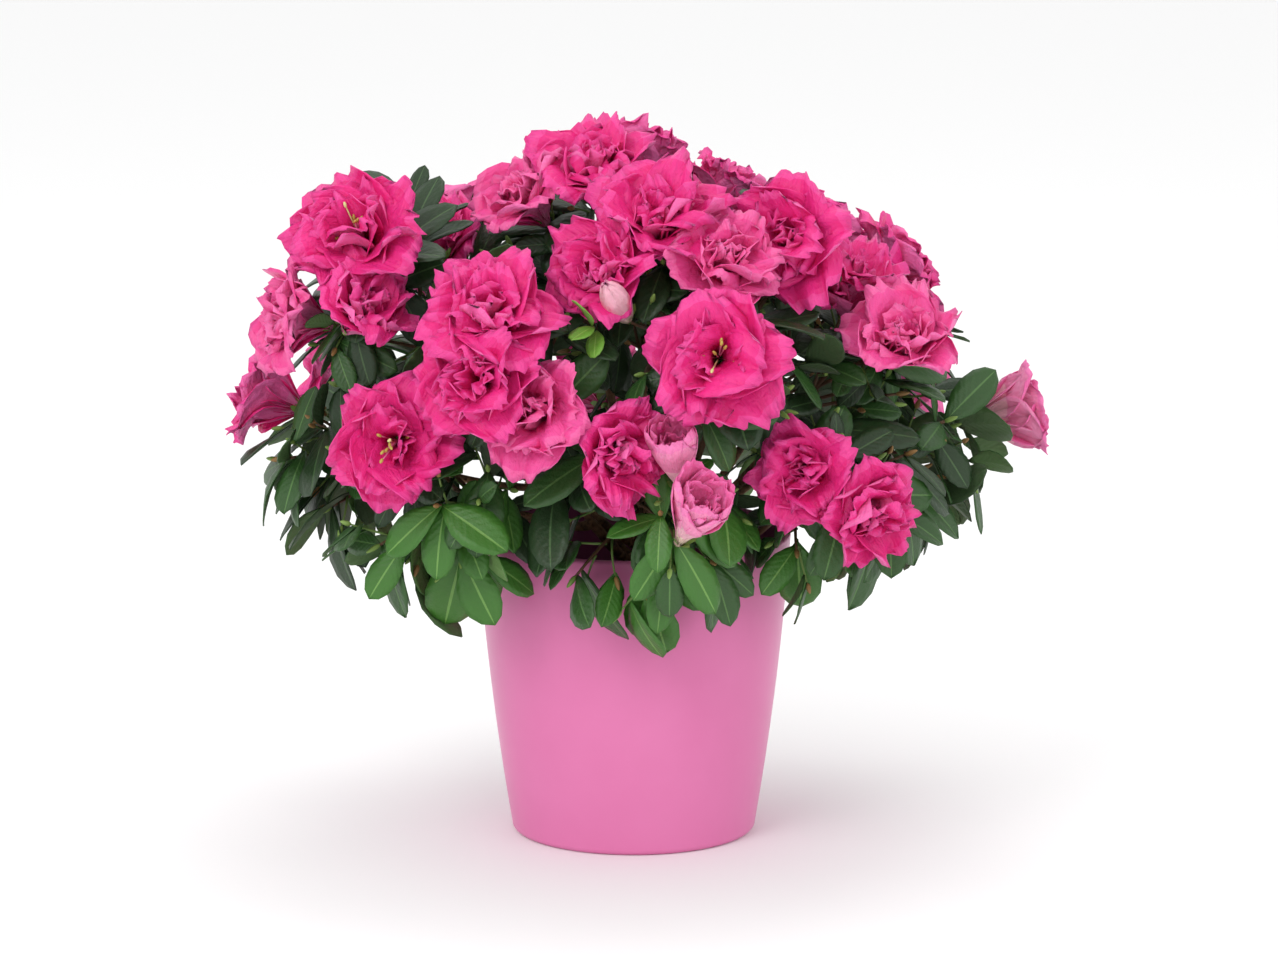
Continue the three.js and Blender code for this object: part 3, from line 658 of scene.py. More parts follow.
# many small shapes are joined into one mesh that stands for some nodes: points in millimetres, faces, a
# slot for each face and a map
class Joined:
    def __init__(self, *nodes):
        self.nodes, self.points, self.faces, self.slots, self.maps, self.count = [*nodes], [], [], [], [], 0

    def add(self, points, faces, slots=0, places=None):
        self.points.append(np.asarray(points))
        self.faces += [[corner + self.count for corner in face] for face in faces]
        self.slots += [slots] * len(faces) if isinstance(slots, int) else slots
        if places is not None:
            self.maps.append(places)
        self.count += len(points)

    def piece(self, name, materials, slotName, mapName=None):
        mesh = bpy.data.meshes.new(name)
        mesh.from_pydata((np.concatenate(self.points) * mm).tolist(), [], self.faces)
        mesh.polygons.foreach_set("material_index", self.slots)
        mesh.polygons.foreach_set("use_smooth", [True] * len(self.faces))
        if mapName:
            places = np.concatenate(self.maps)
            corners = np.empty(len(mesh.loops), int)
            mesh.loops.foreach_get("vertex_index", corners)
            mesh.uv_layers.new(name=mapName).data.foreach_set("uv", places[corners].ravel())
        for material in materials:
            mesh.materials.append(material)
        piece = addObject(name, mesh)
        nodes = sorted(set(self.nodes))
        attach(piece, "root")
        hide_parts(*nodes)
        print(name, "made:", len(self.faces), "faces")
        return piece


def thicken(piece, thickness, backSlots):
    solidify = piece.modifiers.new("thickness", "SOLIDIFY")
    solidify.thickness = thickness * mm
    solidify.offset = -1
    solidify.material_offset = backSlots


def takenApart(body):
    body.verts.index_update()
    points = np.array([vert.co for vert in body.verts])
    faces = [[vert.index for vert in face.verts] for face in body.faces]
    body.free()
    return points, faces


# a flat grid that the petals and leaves are shaped from: its places across and along, and its faces
def gridOf(columns, rows):
    sheet = bmesh.new()
    bmesh.ops.create_grid(sheet, x_segments=columns, y_segments=rows, size=1)
    points, faces = takenApart(sheet)
    return points[:, 0], (points[:, 1] + 1) / 2, faces


# petals
petal = {
    "columns": 18, "rows": 8, "thickness": 0.35,
    "rings": (
        {"count": 5, "share": (0.9, 1.02), "width": 0.55, "ruffle": 0.13, "tilt": -2, "recurve": (14, 64)},
        {"count": 5, "share": (0.76, 0.94), "width": 0.52, "ruffle": 0.18, "tilt": 14, "recurve": (4, 74)},
        {"count": 5, "share": (0.58, 0.78), "width": 0.5, "ruffle": 0.2, "tilt": 34, "recurve": (0, 70)},
        {"count": 4, "share": (0.4, 0.62), "width": 0.48, "ruffle": 0.22, "tilt": 54, "recurve": (-20, 60)},
    ),
    "tubeRadius": 1.7, "tubeFoot": 2.5, "rise": (0.02, 0.36), "tipRun": 0.42,
    "rimDrop": 0.2, "rimPower": 2.2, "rimWaves": ((0.07, 2.4, 0), (0.06, 6.4, 4)), "rimFrom": 1.5,
    "spreadBy": 0.66, "spreadPower": 1.35, "broad": (0.9, 1.1), "narrowing": 0.34, "narrows": (0.68, 1.08),
    "wander": 0.1, "wanders": 3, "overlap": 0.12, "cupMost": 0.55, "cupFlattens": 0.6, "cupLifts": 0.3,
    "flatFrom": 0.4, "ahead": 0.01, "shift": (0, 90),
    "budRuffle": 0.3, "folds": (1.8, 1.3, 0.7), "puckers": (1, 2.6, 2.2), "foldPower": 1.3,
    "frill": 0.5, "frills": 10, "frillWander": (5, 1.2, 1.2), "frillFrom": 0.6,
    "tiltChance": 6, "turnChance": 0.16, "ruffleTilt": (0.8, 0.5),
    "closedTilt": 88, "closedBulge": 3, "openFrom": 0.6,
    "budStep": 2, "budRecurve": -40, "wrapMost": 1.7, "proud": 7, "pressed": 0.5,
    "openHearts": ("mass_front", "mass_low_front_left", "mass_left", "mass_back", "mass_back_right"),
    "pale": {"mass_left": (1,), "mass_front_left": (2,), "mass_top": (1,), "mass_right": (0,),
             "mass_upper_front": (2,), "mass_back_left": (1,), "mass_back": (1,),
             "mass_low_back_right": (0,)},
    "zones": (0.3, 0.52, 0.88), "zoneNames": ("ThroatTintAndShade", "DeepTintAndShade", "Main", "Edge"),
    "skin": {"Roughness": 0.5, "Specular IOR Level": 0.35, "Subsurface Weight": 0.2,
             "Subsurface Radius": (1.0, 0.35, 0.6), "Subsurface Scale": 0.002},
    "veinStretch": (16, 2.6, 1), "veins": {"Scale": 1, "Detail": 3, "Roughness": 0.6},
    "crinkle": {"Scale": 240, "Detail": 3, "Distortion": 0.6}, "relief": (0.85, 0.0013),
    "mapStep": 0.37, "leftOf": 10,
}
# a colour for each zone, on the front of a petal and then on its back; the throat and deep zones are darker,
# partly the petal's own deeper throat and partly painted shade, and the edge zone is paler, partly its own
# paler margin and partly painted highlight
petalColours = {
    "": (("b8004e", "d40f6b", "e22980", "e64090"), ("d46a9a", "da5c99", "e468a6", "e664a4")),
    "Pale": (("c01460", "da2c7e", "e84a93", "ee609f"), ("e67eaa", "e876ac", "ec74ae", "ee70ac")),
    "Bud": (("d890aa", "e47eaa", "e86ea6", "ea64a2"), ("f2cdbc", "f6b0c2", "f08ab4", "ec7ab0")),
}
petalU, petalV, petalFaces = gridOf(petal["columns"], petal["rows"])
# each face's zone by how far along the petal it lies: the darker throat zones carry painted shade and the
# paler edge zone carries painted highlight, along with the petal's own tones
petalZones = [int(np.searchsorted(petal["zones"], petalV[face].mean())) for face in petalFaces]


def petalMaterial(name, colour):
    material = newMaterial(name, colour, petal["skin"])
    place = addNode(material, "TexCoord").outputs
    stretched = addNode(material, "Mapping", Vector=place["UV"], Scale=petal["veinStretch"])
    veins = addNoise(material, stretched.outputs["Vector"], petal["veins"])
    crinkle = addNoise(material, place["Object"], petal["crinkle"])
    addRelief(material, addMath(material, "MULTIPLY_ADD", crinkle, 1.0, veins), *petal["relief"])
    return material


# smooth chance over a petal, at one scale across it and one along it
def crumple(wide, far, shift):
    return np.array([noise.noise(Vector((u * wide + shift, v * far, shift)))
                     for u, v in zip(petalU, petalV)])


# the line a petal follows from the stalk over the flower's heart: its distance out and its height
def petalRun(reach, tilt, recurve):
    top = np.array((cos(radians(tilt)), sin(radians(tilt)))) * reach
    end = radians(tilt - recurve)
    base = np.array((petal["tubeRadius"], petal["tubeFoot"] - bloom["stalk"]))
    near = top - np.array((cos(end), sin(end))) * petal["tipRun"] * reach
    return bezier(base, base + np.array(petal["rise"]) * reach, near, top)


# a broad rounded tip, a little uneven
def petalRim(shifts):
    rim = 1 - petal["rimDrop"] * np.abs(petalU) ** petal["rimPower"]
    for size, waves, i in petal["rimWaves"]:
        rim += size * crumple(waves, 0, shifts[i])
    return rim


# half the petal's width along it; in a bud it is no more than goes round the axis
def petalHalf(kind, reach, around, closed, roll):
    spread = np.sin(np.clip(petalV / petal["spreadBy"], 0, 1) * pi / 2) ** petal["spreadPower"]
    narrowed = 1 - petal["narrowing"] * smoothstep(petalV, *petal["narrows"])
    half = kind["width"] * reach * roll(*petal["broad"]) * narrowed
    half = lerp(half, np.minimum(half, around * petal["wrapMost"]), closed)
    return lerp(petal["tubeRadius"], half, spread)


# folds along the petal, puckers over it and a frill that grows to its rim
def petalFolds(kind, reach, opening, shifts):
    size = kind["ruffle"] * reach * lerp(petal["budRuffle"], 1, opening)
    chance = [amount * crumple(wide, far, shift) for (amount, wide, far), shift
              in zip((petal["folds"], petal["puckers"], petal["frillWander"]), shifts[2:])]
    normal = size * petalV ** petal["foldPower"] * (chance[0] + chance[1])
    edge = smoothstep(np.maximum(petalV, np.abs(petalU) * petalV ** 0.5), petal["frillFrom"], 1)
    normal += size * edge * petal["frill"] * np.sin(petal["frills"] * petalU + chance[2] + shifts[1])
    return normal + petal["overlap"] * reach * petalU * petalV * opening


# what stands far out of its mass is pressed back a little
def pressedIn(mass, points):
    away = points - mass["middle"]
    far = np.linalg.norm(away, axis=1)
    over = np.maximum(0, far - mass["reach"] - petal["proud"])
    return mass["middle"] + away * (1 - petal["pressed"] * over / far)[:, None]


def petalPoints(flower, kind, turn, share, tilt, recurve, roll):
    facing, opening = flower["facing"], flower["opening"]
    out = spoke(facing, turn)
    reach = flower["length"] * share
    run = petalRun(reach, tilt, recurve)
    shifts = [roll(*petal["shift"]) for _ in range(5)]
    along = petalV * lerp(1, petalRim(shifts), petalV ** petal["rimFrom"])
    centre = np.array([run(each) for each in along])
    ahead = np.array([run(each + petal["ahead"]) for each in along]) - centre
    ahead /= np.linalg.norm(ahead, axis=1)[:, None]
    radius = centre[:, 0]
    if closedBud(flower):
        radius = radius + petal["closedBulge"] * np.sin(pi * petalV)
    around = np.maximum(radius, petal["tubeRadius"])
    closed = 1 - smoothstep(opening, 0, petal["openFrom"])
    half = petalHalf(kind, reach, around, closed, roll)
    s = petalU * half * (1 + petal["wander"] * crumple(0, petal["wanders"], shifts[1]) * petalV)
    angle = closed * s / around
    cup = np.minimum(s * s / (2 * around), np.abs(s) * petal["cupMost"]) * (1 - closed)
    normal = petalFolds(kind, reach, opening, shifts)
    flat = smoothstep(petalV, petal["flatFrom"], 1)
    r = radius * np.cos(angle) - cup * (1 - petal["cupFlattens"] * flat) - ahead[:, 1] * normal
    height = centre[:, 1] + ahead[:, 0] * normal + petal["cupLifts"] * cup * flat
    sideways = s + radius * (np.sin(angle) - angle)
    points = flower["heart"] + out * r[:, None] + np.cross(out, facing) * sideways[:, None]
    return pressedIn(flower["mass"], points + facing * height[:, None])


def ringPetal(flower, ring, kind, i, openTilt, roll):
    opening = flower["opening"]
    step = 2 * pi / bloom["petals"]
    turn = flower["firstTurn"] + step * (i * bloom["petals"] / kind["count"] + 0.5 * ring)
    turn += roll(-petal["turnChance"], petal["turnChance"]) * (1 + ring)
    ruffle = flower["ruffles"][(4 * i + ring) % len(flower["ruffles"])]
    wide = openTilt + kind["tilt"] + ruffle * (petal["ruffleTilt"][0] + petal["ruffleTilt"][1] * ring)
    upright = petal["closedTilt"] if closedBud(flower) else bloom["outerTilt"][0]
    tilt = lerp(upright + petal["budStep"] * ring, wide, opening)
    recurve = lerp(petal["budRecurve"], roll(*kind["recurve"]), opening)
    return petalPoints(flower, kind, turn, roll(*kind["share"]), tilt, recurve, roll)


def flowerPetals(flower, order):
    roll = dice(order + seeds["petals"])
    openTilt = bloom["outerTilt"][1] + roll(-petal["tiltChance"], petal["tiltChance"])
    hidden = 1 if flower["open"] else 2 if closedBud(flower) else 0
    rings = petal["rings"][:len(petal["rings"]) - hidden]
    return [ringPetal(flower, ring, kind, i, openTilt, roll)
            for ring, kind in enumerate(rings) for i in range(kind["count"])]


def sprayOf(flower):
    x, y, _ = flower["mass"]["middle"]
    if flower["opening"] < petal["openFrom"]:
        return "buds"
    if y > 0:
        return "back"
    return "left" if x < petal["leftOf"] else "right"


# a material for each zone of the fronts, then of the backs, which Solidify takes for the underside
def petalMaterials(tint):
    return [petalMaterial("petal" + tint + zone + side, code)
            for side, codes in zip(("", "Back"), petalColours[tint])
            for zone, code in zip(petal["zoneNames"], codes)]


def makePetals():
    zoneCount = len(petal["zoneNames"])
    openMaterials = petalMaterials("") + petalMaterials("Pale")
    budMaterials = petalMaterials("Bud")
    sprays = {key: Joined() for key in ("left", "right", "back", "buds")}
    places = np.column_stack(((petalU + 1) / 2, petalV))
    for order, flower in enumerate(blooms):
        name, index = flower["mass"]["name"], flower["index"]
        flower["open"] = name in petal["openHearts"] and index == 0
        key = sprayOf(flower)
        sprays[key].nodes.append(name)
        flower["meshes"] = flowerPetals(flower, order)
        palest = 1 if closedBud(flower) else zoneCount
        pale = index in petal["pale"].get(name, ()) and key != "buds"
        zones = [min(zone, palest) + 2 * zoneCount * pale for zone in petalZones]
        for points in flower["meshes"]:
            sprays[key].add(points, petalFaces, zones, places + np.array((petal["mapStep"] * order, 0)))
    for key, joined in sprays.items():
        chosen = budMaterials if key == "buds" else openMaterials
        piece = joined.piece("petals_" + key, chosen, "foliage", "petalMap")
        thicken(piece, petal["thickness"], zoneCount)


makePetals()


# leaves: darker higher up and lighter lower down towards the pot, the darkest deep in the crown as painted
# shade and a step lighter at the front as painted light, a few young ones
leafLook = {
    "columns": 5, "rows": 6, "rowsAt": (0, 0.17, 0.36, 0.57, 0.77, 0.92, 1),
    "columnsAt": (0, 0.055, 0.56, 1), "thickness": 0.45,
    "outline": (0.9, 2.3, 0.62), "leastHalf": 0.075, "leastTapers": 0.05,
    "fold": (0.1, 0.34), "curl": 0.16, "groove": 0.012, "grooveHalf": 0.1, "wave": 0.016, "waves": 7,
    "waveStart": (0, 6.3),
    "droop": (0.1, 0.28), "twist": 0.35, "broad": (0.96, 1.2),
    "tones": ("dark", "mid", "lightGreen", "young"),
    "toneSteps": (0.38, 0.86), "toneBase": 0.3, "toneFrom": 200, "toneRun": 150, "toneChance": 0.42,
    "forward": -60, "paintedLightFront": 0.12,
    "blade": ("20381b", "2d5122", "3b6d25", "6ea03a"),
    "rib": ("44603a", "527840", "6a964a", "92ba5a"),
    "back": ("465e3c", "526f42", "628548", "86ae56"),
    "roughness": (0.44, 0.5, 0.6),
    "skin": {"Specular IOR Level": 0.42, "Subsurface Weight": 0.06, "Subsurface Radius": (0.4, 1.0, 0.2),
             "Subsurface Scale": 0.001},
    "veinSlant": -0.55, "veinTurns": 52, "veinHeight": 0.16, "grain": {"Scale": 900, "Detail": 3},
    "relief": (0.4, 0.0006),
}


# side veins run forward from the midrib, with a fine leathery grain over them
def leafMaterial(name, colour, roughness):
    material = newMaterial(name, colour, leafLook["skin"] | {"Roughness": roughness})
    place = addNode(material, "TexCoord").outputs
    axes = addNode(material, "SeparateXYZ", Vector=place["UV"]).outputs
    aside = addMath(material, "ABSOLUTE", addMath(material, "SUBTRACT", axes["X"], 0.5))
    slant = addMath(material, "MULTIPLY_ADD", aside, leafLook["veinSlant"], axes["Y"])
    veins = addMath(material, "SINE", addMath(material, "MULTIPLY", slant, leafLook["veinTurns"]))
    grain = addNoise(material, place["Object"], leafLook["grain"])
    height = addMath(material, "MULTIPLY_ADD", veins, leafLook["veinHeight"], grain)
    addRelief(material, height, *leafLook["relief"])
    return material


leafU, leafV, leafFaces = gridOf(leafLook["columns"], leafLook["rows"])
leafV = np.interp(leafV, np.linspace(0, 1, leafLook["rows"] + 1), leafLook["rowsAt"])
ribFaces = [abs(leafU[face].mean()) < 0.1 for face in leafFaces]
leafU = np.interp(np.abs(leafU), (0, 0.2, 0.6, 1), leafLook["columnsAt"]) * np.sign(leafU)
leafPlaces = np.column_stack(((leafU + 1) / 2, leafV))


def leafPoints(placed, roll, u=leafU, v=leafV):
    length, look = placed["length"], leafLook
    before = np.clip(v / leaf["widestAt"], 0, 1)
    after = np.clip((v - leaf["widestAt"]) / (1 - leaf["widestAt"]), 0, 1)
    foot, tip, blunt = look["outline"]
    outline = np.sin(before * pi / 2) ** foot * (1 - after ** tip) ** blunt
    outline = np.maximum(outline, look["leastHalf"] - look["leastTapers"] * v)
    half = 0.5 * leaf["width"] * length * roll(*look["broad"]) * outline
    s = u * half
    lift = roll(*look["fold"]) * np.abs(s) - look["curl"] * half * np.abs(u) ** 3
    lift -= look["groove"] * length * np.exp(-(u / look["grooveHalf"]) ** 2) * outline
    lift += look["wave"] * length * np.abs(u) * np.sin(look["waves"] * v + roll(*look["waveStart"]))
    twist = roll(-1, 1) * look["twist"] * v
    drop = roll(*look["droop"]) * length * v ** 2
    sideways = s * np.cos(twist) - lift * np.sin(twist)
    upward = s * np.sin(twist) + lift * np.cos(twist) - drop
    return (placed["root"] + placed["along"] * (v * length)[:, None]
            - placed["side"] * sideways[:, None] + placed["up"] * upward[:, None])


def toneOf(shoot, roll):
    chance = roll(-leafLook["toneChance"], leafLook["toneChance"])
    if "bloom" in shoot and closedBud(shoot["bloom"]):
        return leafLook["tones"].index("young")
    # leaves on the short twigs deep in the crown take the darkest tone: painted shade
    if shoot.get("inner"):
        return leafLook["tones"].index("dark")
    # leaves at the front of the crown are a step lighter: painted light; lower leaves are lighter as well
    forward = leafLook["paintedLightFront"] if shoot["tip"][1] < leafLook["forward"] else 0
    low = (leafLook["toneFrom"] - shoot["tip"][2]) / leafLook["toneRun"]
    return int(np.searchsorted(leafLook["toneSteps"], leafLook["toneBase"] + low + chance + forward))


# a blade and a rib for each tone, then their backs
def leafMaterials():
    fronts, backs = [], []
    for tone, *colours in zip(leafLook["tones"], leafLook["blade"], leafLook["rib"], leafLook["back"]):
        blade, rib, back = [leafMaterial(tone + part, colour, rough) for part, colour, rough
                            in zip(("Blade", "Rib", "Back"), colours, leafLook["roughness"])]
        fronts += [blade, rib]
        backs += [back, back]
    return fronts + backs


def petalTree(flower):
    size = len(petalU)
    cells = [[c + size * i for c in face] for i in range(len(flower["meshes"])) for face in petalFaces]
    return BVHTree.FromPolygons(np.concatenate(flower["meshes"]).tolist(), cells)


# a leaf that would grow through a petal or another leaf is left out
def leafIsFree(placed, lone, petalTrees, grown):
    middle = placed["root"] + placed["along"] * placed["length"] / 2
    for flower, tree in petalTrees:
        near = np.linalg.norm(middle - flower["heart"]) < flower["length"] + placed["length"]
        if near and lone.overlap(tree):
            return False
    return not (grown and lone.overlap(grown))


def growLeaves(mass, order, petalTrees, spray):
    points, cells, grown = [], [], None
    roll = dice(order + seeds["leaves"])
    for shoot in mass["grown"]:
        tone = toneOf(shoot, roll)
        for placed in shoot["leaves"]:
            shape = leafPoints(placed, roll)
            lone = BVHTree.FromPolygons(shape.tolist(), leafFaces)
            if leafIsFree(placed, lone, petalTrees, grown):
                cells += [[c + len(points) for c in face] for face in leafFaces]
                points += shape.tolist()
                grown = BVHTree.FromPolygons(points, cells)
                spray.add(shape, leafFaces, [2 * tone + rib for rib in ribFaces], leafPlaces)


def makeLeaves():
    materials = leafMaterials()
    petalTrees = [(flower, petalTree(flower)) for flower in blooms]
    sprays = {"front": Joined(), "back": Joined()}
    for order, mass in enumerate(masses.values()):
        key = "front" if mass["middle"][1] < 0 else "back"
        sprays[key].nodes.append(mass["name"])
        growLeaves(mass, order, petalTrees, sprays[key])
    for key, joined in sprays.items():
        piece = joined.piece("leaves_" + key, materials, "foliage", "leafMap")
        thicken(piece, leafLook["thickness"], len(materials) // 2)


makeLeaves()


# a round limb as points and faces: a ring is extruded from point to point, with both ends closed
def tubeOf(points, radii, sides):
    points = np.asarray(points)
    ways = np.gradient(points, axis=0)
    ways /= np.linalg.norm(ways, axis=1)[:, None]
    tube = bmesh.new()
    turned = Vector((0, 0, 1)).rotation_difference(Vector(ways[0])).to_matrix().to_4x4()
    bmesh.ops.create_circle(tube, cap_ends=True, segments=sides, radius=radii[0],
                            matrix=Matrix.Translation(points[0]) @ turned)
    tube.faces.ensure_lookup_table()
    end = tube.faces[0]
    for i in range(1, len(points)):
        end = bmesh.ops.extrude_face_region(tube, geom=[end])["geom"]
        end = next(item for item in end if isinstance(item, bmesh.types.BMFace))
        bend = Vector(ways[i - 1]).rotation_difference(Vector(ways[i])).to_matrix().to_4x4()
        move = (Matrix.Translation(points[i]) @ bend @ Matrix.Scale(radii[i] / radii[i - 1], 4)
                @ Matrix.Translation(-Vector(points[i - 1])))
        bmesh.ops.transform(tube, matrix=move, verts=end.verts)
    bmesh.ops.recalc_face_normals(tube, faces=tube.faces)
    return takenApart(tube)


# trunk and boughs, with the bark's ridges and knots in the mesh; each kind has its sides, and how far its
# foot is sunk
bark = {
    "step": 1.3, "trunk": (26, 1.5), "bough": (16, 2.2), "side": (12, 2.2),
    "ridge": 0.2, "ridgesAround": 1.6, "ridgeRun": 0.12, "knot": 0.16, "knotsPerMm": 0.16,
    "collar": 0.3, "collarLength": 5,
    "skin": {"Roughness": 0.82}, "patches": {"Scale": 160, "Detail": 5, "Roughness": 0.65},
    "stops": (0.34, 0.68, 0.5), "colours": ("3a2416", "8a6a4c", "6d4c33"),
    "grain": {"Scale": 700, "Detail": 4}, "relief": (0.6, 0.0006),
}


def barked(curve, radiusAt, sides, into):
    count = ceil(curveLength(curve) / bark["step"])
    points = curvePoints(curve, count)
    shares = np.arange(count + 1) / count
    run = shares * curveLength(curve)
    radii = np.array([radiusAt(s) for s in shares])
    radii *= 1 + bark["collar"] * np.exp(-(run / bark["collarLength"]) ** 2)
    points = np.vstack((points[0] - tangent(curve, 0) * into, points))
    radii = np.concatenate((radii[:1], radii))
    found, faces = tubeOf(points, radii, sides)
    owner = np.linalg.norm(found[:, None] - points, axis=2).argmin(axis=1)
    for i, near in enumerate(owner):
        out = found[i] - points[near]
        around = Vector(out / radii[near] * bark["ridgesAround"])
        ridge = noise.noise(around + Vector((0, 0, near * bark["ridgeRun"])))
        knot = noise.noise(Vector(found[i] * bark["knotsPerMm"]))
        found[i] += out * (bark["ridge"] * ridge + bark["knot"] * knot)
    return found, faces


def makeWood():
    material = grainedMaterial("azaleaBark", bark["colours"][-1], bark, bark["colours"])
    trunkPiece, boughPiece = Joined("trunk"), Joined(*(name for name, _, _ in woodLimbs))
    trunkPiece.add(*barked(trunkCurve, trunkRadiusAt, *bark["trunk"]))
    for name, curve, radiusAt in woodLimbs:
        boughPiece.add(*barked(curve, radiusAt, *bark[name.split("_")[0]]))
    trunkPiece.piece("trunk_bark", [material], "bark")
    boughPiece.piece("bough_bark", [material], "bark")


makeWood()


# the stems and twigs of the masses, brown below and green towards the tips, with a bud on each bare tip
twigLook = {
    "sides": 6, "steps": 5, "bend": 0.07, "narrowed": 0.7, "stemSides": 8, "stemSteps": 12, "stemInto": 2.5,
    "fineRadius": 0.62, "greenBelow": 26,
    "skin": {"Roughness": 0.62}, "grain": {"Scale": 1400, "Detail": 3}, "relief": (0.5, 0.0003),
    "colours": {"twigBrown": "5d4029", "twigGreen": "5f7a38", "budGreen": "7c9a4a", "budScale": "8d6a3c"},
}
tipBud = {"length": (4.5, 7.5), "width": 1.5, "pointed": 0.45, "sunk": 0.15, "scaly": 0.4,
          "segments": (7, 6)}


def twigMaterials(colours):
    return [grainedMaterial(name, colour, twigLook) for name, colour in colours.items()]


def ballOf(segments, rings):
    ball = bmesh.new()
    bmesh.ops.create_uvsphere(ball, u_segments=segments, v_segments=rings, radius=1)
    return takenApart(ball)


def turnedTo(points, axis, at):
    side, lift = squareTo(axis)
    return at + points[:, :1] * side + points[:, 1:2] * lift + points[:, 2:] * axis


def addStem(twigs, mass):
    points = curvePoints(mass["stem"], twigLook["stemSteps"])
    points = np.vstack((points[0] - tangent(mass["stem"], 0) * twigLook["stemInto"], points))
    radii = np.linspace(stem["radius"], stem["tipRadius"] * twigLook["narrowed"], len(points))
    twigs.add(*tubeOf(points, radii, twigLook["stemSides"]))


def addTwig(twigs, shoot, roll):
    start, tip = shoot["start"], shoot["tip"]
    length = np.linalg.norm(tip - start)
    bend = spoke(unit(tip - start), roll(0, 2 * pi)) * twigLook["bend"] * length
    curve = bezier(start, lerp(start, tip, 0.5) + bend, tip)
    wide = twigLook["fineRadius"] if shoot.get("fine") else twig["radius"]
    radii = np.linspace(wide, wide * twigLook["narrowed"], twigLook["steps"] + 1)
    green = bool(shoot.get("fine") or length < twigLook["greenBelow"])
    twigs.add(*tubeOf(curvePoints(curve, twigLook["steps"]), radii, twigLook["sides"]), int(green))
    return tangent(curve, 1)


def addTipBud(twigs, tip, way, ball, roll):
    points, faces = ball
    size = roll(*tipBud["length"])
    shape = points * (tipBud["width"], tipBud["width"], size / 2)
    shape[:, :2] *= 1 - tipBud["pointed"] * (points[:, 2:] + 1) / 2
    kind = 3 if roll(0, 1) < tipBud["scaly"] else 2
    twigs.add(turnedTo(shape, way, tip + way * size * (0.5 - tipBud["sunk"])), faces, kind)


def makeTwigs():
    twigs = Joined(*masses)
    ball = ballOf(*tipBud["segments"])
    for order, mass in enumerate(masses.values()):
        roll = dice(order + seeds["twigs"])
        addStem(twigs, mass)
        for shoot in mass["grown"]:
            way = addTwig(twigs, shoot, roll)
            if "bloom" not in shoot:
                addTipBud(twigs, shoot["tip"], way, ball, roll)
    twigs.piece("twigs", twigMaterials(twigLook["colours"]), "bark")


makeTwigs()


# stalks with sepals under each bloom, and stamens in the open ones
hearts = {
    "sepals": 5, "sepalLength": 8, "sepalLean": (0.28, 0.6), "sepalShare": (0.8, 1.1), "sepalOut": 0.8,
    "sepalGrid": (2, 4), "cupRadii": (0.9, 1.84, 2.3), "cupHeights": (-1.6, 0, 3.4), "cupSides": 10,
    "stamens": 7, "stamenLength": (0.34, 0.56), "pistilLength": 0.62, "spread": (3, 22), "bow": 0.08,
    "sunk": 6, "filament": 0.32, "filamentSteps": 4, "filamentSides": 5,
    "anther": (0.75, 0.75, 1.5), "antherBall": (6, 5),
    "calyxColours": {"sepalGreen": "6c8a3e"},
    "colours": {"filamentPink": "e795b8", "antherYellow": "b9ab52", "pistilPale": "cdd08a"},
}


def addCalyx(stalks, flower, sepalGrid, roll):
    u, v, sepalFaces = sepalGrid
    facing = flower["facing"]
    foot = flower["heart"] - facing * (bloom["stalk"] - bloom["stalkSunk"])
    cup = [foot + facing * height for height in hearts["cupHeights"]]
    stalks.add(*tubeOf(cup, hearts["cupRadii"], hearts["cupSides"]))
    for i in range(hearts["sepals"]):
        out = spoke(facing, flower["firstTurn"] + (i + 0.5) * 2 * pi / hearts["sepals"])
        run = unit(facing + out * roll(*hearts["sepalLean"]))
        sepal = placeLeaf(foot + out * hearts["cupRadii"][1] * hearts["sepalOut"], run, facing - out,
                          hearts["sepalLength"] * roll(*hearts["sepalShare"]))
        stalks.add(leafPoints(sepal, roll, u, v), sepalFaces)


# the last filament is the pistil
def addStamens(stamens, flower, ball, roll):
    points, ballFaces = ball
    facing = flower["facing"]
    for i in range(hearts["stamens"] + 1):
        pistil = i == hearts["stamens"]
        turn, lean = roll(0, 2 * pi), radians(roll(*hearts["spread"]))
        share = hearts["pistilLength"] if pistil else roll(*hearts["stamenLength"])
        reach = flower["length"] * share
        out = spoke(facing, turn)
        start = flower["heart"] - facing * hearts["sunk"]
        tip = start + (facing * cos(lean) + out * sin(lean)) * (reach + hearts["sunk"])
        curve = bezier(start, lerp(start, tip, 0.5) - out * reach * hearts["bow"], tip)
        line = curvePoints(curve, hearts["filamentSteps"])
        radii = [hearts["filament"]] * len(line)
        stamens.add(*tubeOf(line, radii, hearts["filamentSides"]), 2 if pistil else 0)
        stamens.add(turnedTo(points * hearts["anther"], unit(out + facing), tip), ballFaces,
                    2 if pistil else 1)


def makeHearts():
    stalks, stamens = Joined(), Joined()
    ball, sepalGrid = ballOf(*hearts["antherBall"]), gridOf(*hearts["sepalGrid"])
    for order, flower in enumerate(blooms):
        roll = dice(order + seeds["hearts"])
        addCalyx(stalks, flower, sepalGrid, roll)
        stalks.nodes.append(flower["mass"]["name"])
        if flower["open"]:
            addStamens(stamens, flower, ball, roll)
            stamens.nodes.append(flower["mass"]["name"])
    stalks.piece("calyces", twigMaterials(hearts["calyxColours"]), "foliage")
    stamens.piece("stamens", twigMaterials(hearts["colours"]), "foliage")


makeHearts()


# the glazed pot, spun from its profile; its inner wall takes a darker copy of the glaze as painted shade
potLook = {
    "steps": 96, "wallSteps": 14, "roundSteps": 6,
    # the inside colours are the glaze darkened as painted shade on the inner wall
    "glaze": ("d775a7", "db7aac"), "inside": ("8a4468", "924a70"), "stops": (0.3, 0.7),
    "skin": {"Roughness": 0.34, "Specular IOR Level": 0.16, "Coat Weight": 0.08, "Coat Roughness": 0.08},
    "patches": {"Scale": 26, "Detail": 3}, "grain": {"Scale": 180, "Detail": 2}, "relief": (0.05, 0.0006),
}


